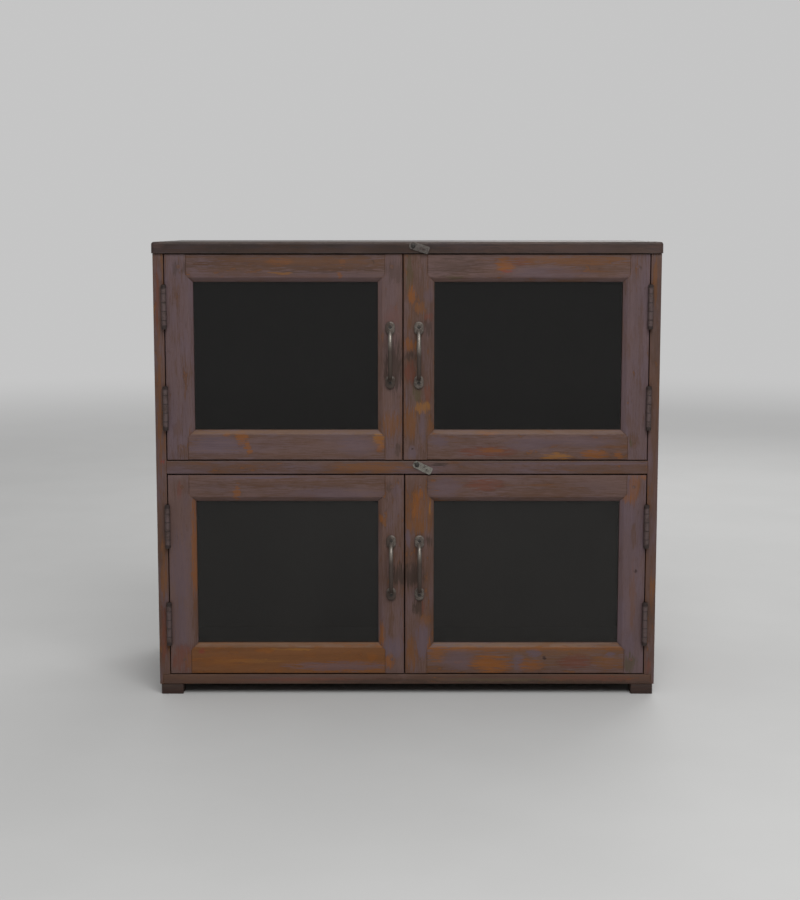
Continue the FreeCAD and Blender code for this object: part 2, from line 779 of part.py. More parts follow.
def side_board(name, way):
    """A side board with its housings, the hinge seats of two doors and the nail holes."""
    edge = f"-{half_width}" if way > 0 else half_width
    body = new_body(name, edge, face, "foot_height")
    tall = f"({top_under} - foot_height)"

    board = outline(body, f"{name}_board", "XZ_Plane",
                    rectangle(*span(way, "0", "side_thick"), "0", tall))
    add(body, board, "case_depth")
    foot = outline(body, f"{name}_floor_housing", "XZ_Plane", rectangle(
        *span(way, "side_thick - floor_housing", "side_thick + overrun"),
        "-overrun", "floor_thick"), "-overrun")
    cut(body, foot, f"{inside_depth} + overrun")
    back = outline(body, f"{name}_back_housing", "XZ_Plane", rectangle(
        *span(way, "side_thick - back_housing", "side_thick + overrun"),
        "-overrun", f"{tall} + overrun"), inside_depth)
    cut(body, back, "back_thick + overrun")
    shelf = outline(body, f"{name}_shelf_housing", "XZ_Plane", rectangle(
        *span(way, "side_thick - shelf_housing", "side_thick + overrun"),
        f"{shelf_under} - foot_height", f"{shelf_top} - foot_height"), "housing_stop")
    cut(body, shelf, f"{inside_depth} - housing_stop")
    middles = [f"({door['low']} + {middle} - foot_height)" for door in doors.values()
               if door["way"] == way for middle in hinge_middles(door)]
    hinge_seats(body, name, -way, middles, "-side_thick")
    nails = rings(body, f"{name}_nail_holes", "XY_Plane",
                  [(mirrored(way, "side_thick / 2"), y) for y in nail_depths()],
                  "nail_shank + 2 * screw_fit", f"{tall} - nail_long + top_thick")
    cut(body, nails, "nail_long")
    soften(body, f"{name}_arris", "Chamfer", "board_arris",
           lambda point, edge: near(point.y, "0") and runs_along(edge, 2)
           and near(point.x, "0"))
    return body


def nail_depths():
    step = f"((case_depth - 2 * nail_end_inset) / {nails_per_side - 1})"
    return [f"nail_end_inset + {number} * {step}" for number in range(nails_per_side)]


def top_board():
    body = new_body("top_board", "0", f"{face} - top_front_lip", top_under)
    half = f"({half_width} + top_side_lip)"
    board = outline(body, "top_board_outline", "XY_Plane", rectangle(
        f"-{half}", half, "0", "case_depth + top_front_lip"))
    add(body, board, "top_thick")
    soften(body, "top_board_corners", "Fillet", "top_corner_round",
           lambda point, edge: near(point.y, "0") and runs_along(edge, 2))
    back = "case_depth + top_front_lip"
    soften(body, "top_board_edge", "Fillet", "top_edge_round",
           lambda point, edge: near(point.z, "top_thick") and not near(point.y, back))
    nails = [(x, f"top_front_lip + {y}") for y in nail_depths()
             for x in (f"side_thick / 2 - {half_width}", f"{half_width} - side_thick / 2")]
    shanks = rings(body, "top_board_nail_holes", "XY_Plane", nails,
                   "nail_shank + 2 * screw_fit", "-overrun")
    cut(body, shanks, "top_thick + 2 * overrun")
    heads = rings(body, "top_board_nail_heads", "XY_Plane", nails,
                  "nail_head + 2 * screw_fit", "top_thick - nail_head_thick")
    cut(body, heads, "nail_head_thick + overrun")
    pivot = rings(body, "top_board_pivot_hole", "XZ_Plane",
                  [("top_button_place", "top_thick - pivot_drop")],
                  "pivot_shank + 2 * screw_fit", "-overrun")
    cut(body, pivot, "pivot_long + overrun")
    return body


def top_nails(master):
    members = []
    for y in nail_depths():
        for x in (f"side_thick / 2 - {half_width}", f"{half_width} - side_thick / 2"):
            members.append(copy_of(master, f"top_nail_{len(members)}", x, f"{face} + {y}",
                                   f"{top_under} + top_thick", downwards))
    return group("top_board_nails", members)


def bottom_board():
    body = new_body("bottom_board", "0", face, "foot_height")
    half = f"({half_inside} + floor_housing)"
    board = outline(body, "bottom_board_outline", "XY_Plane", rectangle(
        f"-{half}", half, "0", inside_depth))
    add(body, board, "floor_thick")
    soften(body, "bottom_board_arris", "Chamfer", "board_arris",
           lambda point, edge: near(point.y, "0") and runs_along(edge, 0))
    return body


def middle_shelf():
    """The shelf between the two pairs of doors, notched in front so that its housing is hidden."""
    body = new_body("middle_shelf", "0", face, shelf_under)
    wide = f"({half_inside} + shelf_housing)"
    board = outline(body, "middle_shelf_outline", "XY_Plane", [
        (f"-{half_inside}", "0"), (half_inside, "0"), (half_inside, "housing_stop"),
        (wide, "housing_stop"), (wide, inside_depth), (f"-{wide}", inside_depth),
        (f"-{wide}", "housing_stop"), (f"-{half_inside}", "housing_stop")])
    add(body, board, "shelf_thick")
    soften(body, "middle_shelf_arris", "Chamfer", "board_arris",
           lambda point, edge: near(point.y, "0") and runs_along(edge, 0))
    pivot = rings(body, "middle_shelf_pivot_hole", "XZ_Plane",
                  [("middle_button_place", "shelf_thick - pivot_drop")],
                  "pivot_shank + 2 * screw_fit", "-overrun")
    cut(body, pivot, "pivot_long + overrun")
    return body


def back_planks():
    """Four upright planks, tongued and grooved, in the rebate of the side boards."""
    half = f"({half_inside} + back_housing)"
    joints = [f"-{half}", "-inner_plank_wide", "0", "inner_plank_wide", half]
    tongue_low = "(back_thick - tongue_thick) / 2"
    tongue_high = "(back_thick + tongue_thick) / 2"
    members = []
    for number in range(len(joints) - 1):
        left, right = joints[number], joints[number + 1]
        name = f"back_plank_{number}"
        body = new_body(name, "0", f"{face} + {inside_depth}", "foot_height")
        corners = [(left, "0"), (right, "0")]
        if number < len(joints) - 2:
            corners += [(right, tongue_low), (f"{right} + tongue_long", tongue_low),
                        (f"{right} + tongue_long", tongue_high), (right, tongue_high)]
        corners += [(right, "back_thick"), (left, "back_thick")]
        if number > 0:
            deep = f"{left} + tongue_long + tongue_play"
            corners += [(left, f"{tongue_high} + tongue_play"), (deep, f"{tongue_high} + tongue_play"),
                        (deep, f"{tongue_low} - tongue_play"), (left, f"{tongue_low} - tongue_play")]
        add(body, outline(body, name + "_section", "XY_Plane", corners),
            f"{top_under} - foot_height")
        members.append(body)
    return group("back_planks", members)


def foot(name, way, back):
    """A square block under one corner of the case."""
    outer = f"({half_width} - foot_side_inset)"
    x = f"-{outer}" if way > 0 else f"({outer} - foot_wide)"
    y = f"{face} + {inside_depth} - foot_inset - foot_wide" if back else f"{face} + foot_inset"
    body = new_body(name, x, y, "0")
    block = outline(body, name + "_outline", "XY_Plane",
                    rectangle("0", "foot_wide", "0", "foot_wide"))
    add(body, block, "foot_height")
    soften(body, name + "_arris", "Chamfer", "board_arris",
           lambda point, edge: runs_along(edge, 2))
    return body


def door_stops():
    """Strips above and below each opening that the closed doors rest against."""
    members = []
    for number, low in enumerate((floor_top, f"({shelf_under} - stop_wide)", shelf_top,
                                  f"({top_under} - stop_wide)")):
        strip = doc.addObject("Part::Box", f"stop_strip_{number}")
        bind(strip, "Length", f"2 * {half_inside}")
        bind(strip, "Width", "stop_wide")
        bind(strip, "Height", "stop_wide")
        place(strip, f"-{half_inside}", f"{face} + door_thick + stop_gap", low)
        members.append(strip)
    return group("door_stops", members)


def turn_button(name, x, y, z, turn):
    """A metal strip that swings on one screw, with a finger lip bent up at its free end."""
    body = new_body(name, x, y, z, Rotation(Vector(0, -1, 0), value(turn)))
    bind(body, "Placement.Rotation.Angle", turn)
    plate = outline(body, name + "_plate", "XZ_Plane", rectangle(
        "-button_wide / 2", "button_wide / 2", "-button_long", "button_tail"), "-button_thick")
    add(body, plate, "button_thick")
    soften(body, name + "_tail", "Fillet", "button_tail_round",
           lambda point, edge: near(point.z, "button_tail") and runs_along(edge, 1))
    soften(body, name + "_end", "Fillet", "button_end_round",
           lambda point, edge: near(point.z, "-button_long") and runs_along(edge, 1))
    lip = outline(body, name + "_lip", "XZ_Plane", rectangle(
        "button_end_round - button_wide / 2", "button_wide / 2 - button_end_round",
        "-button_long", "button_thick - button_long"), "-button_lip")
    add(body, lip, "button_lip - button_thick / 2")
    pivot = rings(body, name + "_pivot_hole", "XZ_Plane", [("0", "0")],
                  "pivot_shank + 2 * pivot_play", "-button_thick - overrun")
    cut(body, pivot, "button_thick + 2 * overrun")
    spare = rings(body, name + "_spare_hole", "XZ_Plane", [("0", "-button_hole_drop")],
                  "button_hole", "-button_thick - overrun")
    cut(body, spare, "button_thick + 2 * overrun")
    return body


top_face = f"({face} - top_front_lip)"
buttons = {
    "top_turn_button": ("top_button_place", top_face, f"({top_under} + top_thick - pivot_drop)",
                        "top_button_turn"),
    "middle_turn_button": ("middle_button_place", face, f"({shelf_top} - pivot_drop)",
                           "middle_button_turn"),
}


def button_screws(master):
    members = []
    for name, (x, front, z, turn) in buttons.items():
        out = f"{front} - button_gap - button_thick - pivot_play"
        members.append(copy_of(master, name + "_screw", x, out, z, towards_back))
    return group("button_screws", members)


parts = [top_board(), side_board("left_side", 1), side_board("right_side", -1),
         bottom_board(), middle_shelf(), back_planks(), door_stops(),
         foot("foot_front_left", 1, False), foot("foot_front_right", -1, False),
         foot("foot_rear_left", 1, True), foot("foot_rear_right", -1, True)]

case_leaf = hinge_leaf("case_leaf", -1, (0, 2, 4))
door_leaf = hinge_leaf("door_leaf", 1, (1, 3))
screw = wood_screw()
for door_name in doors:
    parts += [stile(door_name, "hinge_stile"), stile(door_name, "lock_stile"),
              rail(door_name, "top_rail"), rail(door_name, "bottom_rail"),
              pegs(door_name), glass(door_name), glazing_beads(door_name), handle(door_name),
              group(f"{door_name}_hinge_leaves",
                    hinge_copies(door_name, "door_leaf", door_leaf)),
              door_screws(door_name, screw)]
parts += [case_leaves("left_case_leaves", 1, case_leaf),
          case_leaves("right_case_leaves", -1, case_leaf)]
parts += [hinge_pins(), case_screws(screw), top_nails(nail()), button_screws(pivot_screw())]
for button_name, (x, front, z, turn) in buttons.items():
    parts.append(turn_button(button_name, x, f"{front} - button_gap", z, turn))

doc.recompute()
for item in doc.Objects:
    if {"Invalid", "Error"} & set(item.State):
        raise ValueError(f"{item.Name} failed: {item.State}")
os.makedirs("parts", exist_ok=True)
for part in parts:
    if part.Shape.isNull() or not part.Shape.isValid():
        raise ValueError(f"{part.Label} has no valid shape")
    part.Shape.exportStep(f"parts/{part.Label}.step")
print(len(parts), "parts")
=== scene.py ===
import json
import math
import bpy
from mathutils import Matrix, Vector

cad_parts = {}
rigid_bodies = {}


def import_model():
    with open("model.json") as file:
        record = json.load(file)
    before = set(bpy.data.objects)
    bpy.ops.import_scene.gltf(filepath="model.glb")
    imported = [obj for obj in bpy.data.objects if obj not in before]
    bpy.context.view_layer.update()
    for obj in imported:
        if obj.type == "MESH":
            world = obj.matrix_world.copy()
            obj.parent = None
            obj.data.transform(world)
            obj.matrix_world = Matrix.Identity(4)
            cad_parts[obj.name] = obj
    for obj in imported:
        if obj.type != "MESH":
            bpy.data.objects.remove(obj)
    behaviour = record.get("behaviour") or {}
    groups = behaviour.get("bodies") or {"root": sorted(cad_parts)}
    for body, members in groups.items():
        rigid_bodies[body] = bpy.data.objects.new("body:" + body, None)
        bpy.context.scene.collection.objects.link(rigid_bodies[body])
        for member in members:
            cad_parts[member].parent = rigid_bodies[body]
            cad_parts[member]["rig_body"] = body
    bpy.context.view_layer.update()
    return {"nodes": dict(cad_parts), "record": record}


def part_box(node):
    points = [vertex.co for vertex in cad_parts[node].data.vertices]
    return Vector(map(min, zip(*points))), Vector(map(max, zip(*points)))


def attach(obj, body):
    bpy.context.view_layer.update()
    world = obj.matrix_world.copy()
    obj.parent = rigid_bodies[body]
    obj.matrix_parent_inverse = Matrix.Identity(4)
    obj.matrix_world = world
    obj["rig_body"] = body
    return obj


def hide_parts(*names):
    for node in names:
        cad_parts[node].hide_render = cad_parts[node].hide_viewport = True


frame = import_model()
nodes = frame["nodes"]
slotOf = {part["node"]: part["material_slot"] for part in frame["record"]["subparts"]}
print("frame loaded,", len(nodes), "nodes")

mm = 0.001
doors = ("upper_left", "upper_right", "lower_left", "lower_right")
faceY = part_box("upper_left_hinge_stile")[0].y  # the plane of the doors' faces


# colours are written as they look, 0 to 255
palette = {
    "mauve": (94, 76, 77),
    "warmMauve": (95, 74, 69),
    "greyMauve": (88, 67, 61),
    "lilac": (93, 78, 85),
    "brown": (86, 61, 47),
    "russet": (100, 58, 44),
    "redSpot": (118, 52, 42),
    "amber": (106, 68, 38),
    "orange": (122, 73, 30),
    "honey": (134, 90, 40),
    "olive": (76, 66, 46),
    "grease": (52, 41, 35),
    "ghost": (60, 46, 38),
    "seam": (48, 32, 28),
    "crevice": (34, 23, 20),
    "topPaint": (46, 35, 31),
    "topBrown": (60, 41, 31),
    "topStain": (66, 49, 40),
    "topArris": (84, 72, 66),
    "basePaint": (76, 55, 45),
    "cream": (104, 76, 55),
    "insideWood": (72, 57, 46),
    "backWood": (106, 84, 64),
    "backWoodDark": (82, 64, 50),
    "backWoodGrey": (98, 84, 70),
    "footWood": (50, 40, 36),
    "dustFilm": (150, 142, 134),
}


def tone(name):
    linear = []
    for level in palette[name]:
        share = level / 255
        linear.append(share / 12.92 if share <= 0.04045 else ((share + 0.055) / 1.055) ** 2.4)
    return (*linear, 1)


# noise patterns: cells, detail, roughness and sometimes distortion; the cells are per metre, or per
# unit of a place that is stretched first
patterns = {
    "bands": (1, 3, 0.5, 0.5), "fibres": (6, 5, 0.7, 0.2), "pores": (17, 2, 0.6),
    "fading": (24, 4, 0.6), "tint": (30, 3, 0.6), "flakes": (110, 5, 0.62), "specks": (230, 3, 0.7),
    "wander": (1, 3, 0.6), "crumbs": (190, 3, 0.6), "blots": (1, 5, 0.62, 0.4),
    "cornerChips": (210, 4, 0.65), "shadeAndGrime": (60, 3, 0.55),
    "dustFilm": (7, 3, 0.5), "dustGrains": (420, 3, 0.7),
    "scuffLines": (1, 1, 0.5), "scuffPlaces": (9, 2, 0.5), "smoke": (5, 3, 0.55),
    "metalCloud": (1, 5, 0.65), "metalFine": (6, 4, 0.7),
    "handledEdge": (90, 3, 0.55), "woodContact": (210, 4, 0.6),
    "wipedGlass": (1, 4, 0.6, 1.2), "oldGlass": (9, 2, 0.5), "floor": (3, 3, 0.55),
}
# levels: a thing shows from the first to the second; two more numbers say how strongly at each
levels = {
    "pores": (0.6, 0.72), "tint": (0.42, 0.66), "specks": (0.64, 0.74), "blots": (0.5, 0.58),
    "cornerChips": (0.35, 0.36), "shadeAndGrime": (0.3, 0.65, 0.55, 1.0), "dustFilm": (0.25, 0.75, 0.5, 1.0),
    "dustGrains": (0.35, 0.65, 0.4, 1.0), "scuffLines": (0.7, 0.76), "scuffPlaces": (0.48, 0.62),
    "smoke": (0.45, 0.75), "woodContact": (0.35, 0.6, 1.0, 0.6), "wipedGlass": (0.3, 0.7, 0.7, 1.0),
    "floor": (0.3, 0.7), "wide": (0.3, 0.7), "patch": (1.28, 0.68), "turnedCorner": (0.01, 0.12),
    "closedIn": (0.85, 0.3), "facingUp": (0.6, 0.95),
}
shaderSamples = 6  # for the softened corners and the painted shade and dirt in seams


# wiring: a net puts shader nodes into one tree and joins them

mixFactor, mixColourA, mixColourB, mixColourOut = 0, 6, 7, 2  # the Mix node's sockets for colours


class Net:
    def __init__(self, tree):
        self.tree = tree

    def feed(self, node, name, value):
        if isinstance(value, bpy.types.NodeSocket):
            self.tree.links.new(value, node.inputs[name])
        else:
            node.inputs[name].default_value = value

    def put(self, kind, feeds=None, **settings):
        node = self.tree.nodes.new("ShaderNode" + kind)
        for name, value in settings.items():
            setattr(node, name, value)
        for name, value in (feeds or {}).items():
            self.feed(node, name, value)
        return node

    def give(self, name, value):
        self.feed(self.given, name, value)

    def use(self, group, feeds):
        return self.put("Group", feeds, node_tree=group).outputs

    def mask(self, group, place, feeds):
        return self.use(group, {"Place": place, **feeds})["Mask"]

    def maths(self, operation, *values, clamp=False):
        node = self.put("Math", dict(enumerate(values)), operation=operation, use_clamp=clamp)
        return node.outputs[0]

    def times(self, first, second):
        return self.maths("MULTIPLY", first, second)

    def most(self, first, second):
        return self.maths("MAXIMUM", first, second)

    def plus(self, first, second):
        return self.maths("ADD", first, second)

    def less(self, first, second):
        return self.maths("SUBTRACT", first, second)

    def rest(self, value):
        return self.less(1.0, value)

    def share(self, first, part, second):  # this part of the first and the rest of the second
        return self.plus(self.times(first, part), self.times(second, 1 - part))

    def blend(self, factor, below, above, blendType="MIX"):
        node = self.put("Mix", {mixFactor: factor, mixColourA: below, mixColourB: above},
                        data_type="RGBA", blend_type=blendType)
        return node.outputs[mixColourOut]

    def coat(self, below, mask, level, above):
        return self.blend(self.times(mask, level), below, above)

    def vector(self, operation, first, second=None, result="Vector"):
        node = self.put("VectorMath", {0: first}, operation=operation)
        if second is not None:
            self.feed(node, 1, second)
        return node.outputs[result]

    def size(self, vector):
        return self.vector("LENGTH", vector, result="Value")

    def part(self, vector, letter):
        return self.put("SeparateXYZ", {"Vector": vector}).outputs[letter]

    def grey(self, level):
        feeds = {name: level for name in ("Red", "Green", "Blue")}
        return self.put("CombineColor", feeds).outputs["Color"]

    def ramp(self, value, low, high, outLow=0.0, outHigh=1.0):
        feeds = {"Value": value, "From Min": low, "From Max": high, "To Min": outLow, "To Max": outHigh}
        return self.put("MapRange", feeds, interpolation_type="SMOOTHSTEP").outputs["Result"]

    def noise(self, place, pattern, scale=1.0, result="Fac"):
        cells, detail, roughness, *distortion = patterns[pattern]
        node = self.put("TexNoise", {
            "Vector": place, "Scale": cells * scale, "Detail": detail, "Roughness": roughness,
            "Distortion": distortion[0] if distortion else 0.0})
        return node.outputs[result]

    def shown(self, place, pattern):
        return self.level(self.noise(place, pattern), pattern)

    def level(self, value, name):
        return self.ramp(value, *levels[name])

    def push(self, place, pattern, reach):  # a wandering step, up to half the reach to each side
        wandering = self.noise(place, pattern, result="Color")
        return self.vector("MULTIPLY", self.vector("SUBTRACT", wandering, (0.5, 0.5, 0.5)), reach)

    def bump(self, shader, height, strength, distance):
        node = self.put("Bump", {"Height": height, "Strength": strength, "Distance": distance})
        self.feed(shader, "Normal", node.outputs["Normal"])


def newGroup(name, inputs, outputs):
    group = bpy.data.node_groups.new(name, "ShaderNodeTree")
    for direction, sockets in (("INPUT", inputs), ("OUTPUT", outputs)):
        for kind, names in sockets.items():
            for socketName in names.split():
                group.interface.new_socket(socketName, in_out=direction, socket_type="NodeSocket" + kind)
    net = Net(group)
    net.given = group.nodes.new("NodeGroupOutput")
    return net, group.nodes.new("NodeGroupInput").outputs


def makeWoodGrain():
    # long soft bands, fine fibres and thin dark pores, all drawn out along the board
    net, taken = newGroup("woodGrain", {"Vector": "Place Stretch Seed"}, {"Float": "Bands Fibres Pores"})
    along = net.vector("ADD", net.vector("MULTIPLY", taken["Place"], taken["Stretch"]), taken["Seed"])
    net.give("Bands", net.noise(along, "bands"))
    net.give("Fibres", net.noise(along, "fibres"))
    net.give("Pores", net.shown(along, "pores"))
    return net.tree


# the pairs are the noise levels between which a thing appears
wornPaintLook = dict(
    tintApart=(3.1, 1.7, 5.3), fibreShare=0.55, wearRubs=0.22, brown=(0.5, 0.66), brownLevel=0.75,
    bandShare=0.5, bare=(0.58, 0.68), bareLevel=0.7, bareDepth=0.35,
    flakeShare=0.7, wearFlakes=0.12, chips=(0.645, 0.66), chipLevel=0.75, chipDepth=0.5,
    chipEdge=(0.615, 0.645), chipEdgeLevel=0.3, poreLevel=0.3, poreDepth=0.5,
    speckLevel=0.35, streak=(0.4, 0.56), fibreHeight=0.5,
)


def makeWornPaint(grain):
    # old paint with lilac and brown in it, rubbed through to the wood along the fibres
    s = wornPaintLook
    net, taken = newGroup(
        "wornPaint", {"Vector": "Place Stretch Drift Seed", "Float": "Wear Tint",
                      "Color": "Paint Lilac Under Wood Dark"},
        {"Color": "Color", "Float": "Height Streak Fibre"})
    wood = net.use(grain, {name: taken[name] for name in ("Place", "Stretch", "Seed")})
    spot = net.vector("ADD", taken["Place"], taken["Seed"])
    drawn = net.vector("MULTIPLY", spot, taken["Drift"])
    cloud = net.noise(drawn, "fading")
    tinted = net.shown(net.vector("ADD", drawn, s["tintApart"]), "tint")
    colour = net.coat(taken["Paint"], tinted, taken["Tint"], taken["Lilac"])
    rubbed = net.plus(net.share(wood["Fibres"], s["fibreShare"], cloud),
                      net.times(taken["Wear"], s["wearRubs"]))
    colour = net.coat(colour, net.ramp(rubbed, *s["brown"]), s["brownLevel"], taken["Under"])
    bare = net.ramp(net.share(wood["Bands"], s["bandShare"], rubbed), *s["bare"])
    colour = net.coat(colour, bare, s["bareLevel"], taken["Wood"])
    flakes = net.plus(net.share(net.noise(drawn, "flakes"), s["flakeShare"], cloud),
                      net.times(taken["Wear"], s["wearFlakes"]))
    chips = net.ramp(flakes, *s["chips"])
    chipEdge = net.less(net.ramp(flakes, *s["chipEdge"]), chips)
    colour = net.coat(colour, chips, s["chipLevel"], taken["Wood"])
    colour = net.coat(colour, chipEdge, s["chipEdgeLevel"], taken["Dark"])
    colour = net.coat(colour, wood["Pores"], s["poreLevel"], taken["Dark"])
    colour = net.coat(colour, net.shown(spot, "specks"), s["speckLevel"], taken["Under"])
    height = net.less(net.times(wood["Fibres"], s["fibreHeight"]),
                      net.times(wood["Pores"], s["poreDepth"]))
    worn = net.most(net.times(bare, s["bareDepth"]), net.times(chips, s["chipDepth"]))
    net.give("Color", colour)
    net.give("Height", net.less(height, worn))
    net.give("Streak", net.ramp(wood["Fibres"], *s["streak"]))
    net.give("Fibre", net.share(wood["Fibres"], s["bandShare"], wood["Bands"]))
    return net.tree


def makePatch():
    # one worn or stained place: an oval whose edge wanders, broken up along the fibres
    net, taken = newGroup(
        "patch", {"Vector": "Place Wander Centre Reach", "Float": "Streak Broken Ragged"},
        {"Float": "Mask Rim"})
    shifted = net.vector("ADD", taken["Place"], taken["Wander"])
    away = net.vector("DIVIDE", net.vector("SUBTRACT", shifted, taken["Centre"]), taken["Reach"])
    ragged = net.times(net.less(0.5, taken["Streak"]), taken["Ragged"])
    inside = net.level(net.plus(net.size(away), ragged), "patch")
    whole = net.rest(net.times(taken["Broken"], net.rest(taken["Streak"])))
    net.give("Mask", net.times(inside, whole))
    rim = net.times(inside, net.rest(inside))
    net.give("Rim", net.times(rim, 4.0))  # 1 where the oval is half faded
    return net.tree


def makeEdgeWear():
    # where a corner is rubbed: the softened normal leaves the true one
    net, taken = newGroup("edgeWear", {"Vector": "Place", "Float": "Width Raggedness"}, {"Float": "Mask"})
    soft = net.put("Bevel", {"Radius": taken["Width"]}, samples=shaderSamples).outputs["Normal"]
    true = net.put("NewGeometry").outputs["Normal"]
    turned = net.rest(net.vector("DOT_PRODUCT", soft, true, result="Value"))
    low, high = levels["cornerChips"]
    chips = net.noise(taken["Place"], "cornerChips")
    kept = net.ramp(chips, low, net.plus(high, taken["Raggedness"]))
    net.give("Mask", net.times(net.level(turned, "turnedCorner"), kept))
    return net.tree


def makeShadeAndGrime():
    # closed-in corners and seams, found by ambient occlusion and broken up by a cloud; a colour darkened
    # with it is painted shade as well as grime
    net, taken = newGroup("shadeAndGrime", {"Vector": "Place", "Float": "Distance"}, {"Float": "Mask"})
    openness = net.put("AmbientOcclusion", {"Distance": taken["Distance"]}, samples=shaderSamples)
    cloud = net.shown(taken["Place"], "shadeAndGrime")
    net.give("Mask", net.times(net.level(openness.outputs["AO"], "closedIn"), cloud))
    return net.tree


def makeDust():
    # a thin grey film on what faces up
    net, taken = newGroup("dust", {"Vector": "Place"}, {"Float": "Mask"})
    up = net.part(net.put("NewGeometry").outputs["Normal"], "Z")
    dust = net.times(net.shown(taken["Place"], "dustFilm"), net.shown(taken["Place"], "dustGrains"))
    net.give("Mask", net.times(net.level(up, "facingUp"), dust))
    return net.tree


scuffLook = dict(ways=((0.35, 1.3), (-0.6, 7.9), (1.3, 4.1)), cells=(9, 900, 900))  # turn, shift


def makeScuffs():
    # fine straight scuffs that cross the grain in three directions, in a few places
    net, taken = newGroup("scuffs", {"Vector": "Place Facing"}, {"Float": "Mask"})
    lines = 0.0
    for angle, shift in scuffLook["ways"]:
        turned = net.put("VectorRotate", {
            "Vector": taken["Place"], "Axis": taken["Facing"], "Angle": angle}, rotation_type="AXIS_ANGLE")
        moved = net.vector("ADD", turned.outputs["Vector"], (shift, shift, shift))
        drawn = net.vector("MULTIPLY", moved, scuffLook["cells"])
        lines = net.most(lines, net.shown(drawn, "scuffLines"))
    net.give("Mask", net.times(lines, net.shown(taken["Place"], "scuffPlaces")))
    return net.tree


grainGroup = makeWoodGrain()
paintGroup = makeWornPaint(grainGroup)
patchGroup = makePatch()
edgeGroup = makeEdgeWear()
shadeAndGrimeGroup = makeShadeAndGrime()
dustGroup = makeDust()
scuffGroup = makeScuffs()
print("node groups made")


# materials

def newMaterial(name, constants):
    material = bpy.data.materials.new(name)
    material.use_nodes = True
    material.node_tree.nodes.clear()
    net = Net(material.node_tree)
    shader = net.put("BsdfPrincipled", constants)
    output = net.put("OutputMaterial")
    net.feed(output, "Surface", shader.outputs["BSDF"])
    place = net.put("TexCoord").outputs["Object"]
    return material, net, shader, place


def rubbedCorners(net, place, s):
    return net.mask(edgeGroup, place, {"Width": s["edgeWidth"], "Raggedness": s["edgeRaggedness"]})


def closedInWithin(net, place, distance):
    return net.mask(shadeAndGrimeGroup, place, {"Distance": distance})


def drawnOut(grain, along, across):
    return (along, across, across) if grain == "x" else (across, across, along)


def patchAt(net, place, centre, reach, wander=(0, 0, 0), streak=1.0, broken=0.0, ragged=0.0):
    return net.use(patchGroup, {"Place": place, "Wander": wander, "Centre": centre, "Reach": reach,
                                "Streak": streak, "Broken": broken, "Ragged": ragged})


grainCells = (6, 95)  # noise cells per metre along the fibres and across them

paintSettings = dict(
    seedStep=(1.37, 2.11, 0.73), drift=0.35, specular=0.25, fibres=(0.32, 0.68),
    heights=(-0.3, 0.4), roughness=(0.67, 0.47),
    bump=0.45, bumpHeight=0.6 * mm, fibreShade={"x": 0.13, "z": 0.09},
    edgeWidth=2.5 * mm, edgeRaggedness=0.22, shadeAndGrimeReach=2.5 * mm, shadeAndGrime=0.35, dust=0.09,
    patchDepth=14, patch=0.85, rim=0.14, broken=0.4, brokenStain=0.12, ragged=0.8,
    rubbedKinds=("orange", "amber", "honey", "russet", "brown"),
    wanderCells=(34, 120), wander=(24 * mm, 8 * mm), wanderFine=5 * mm,
    jointShade=0.6, jointBroken=0.5, stainCells=(4, 9),
)


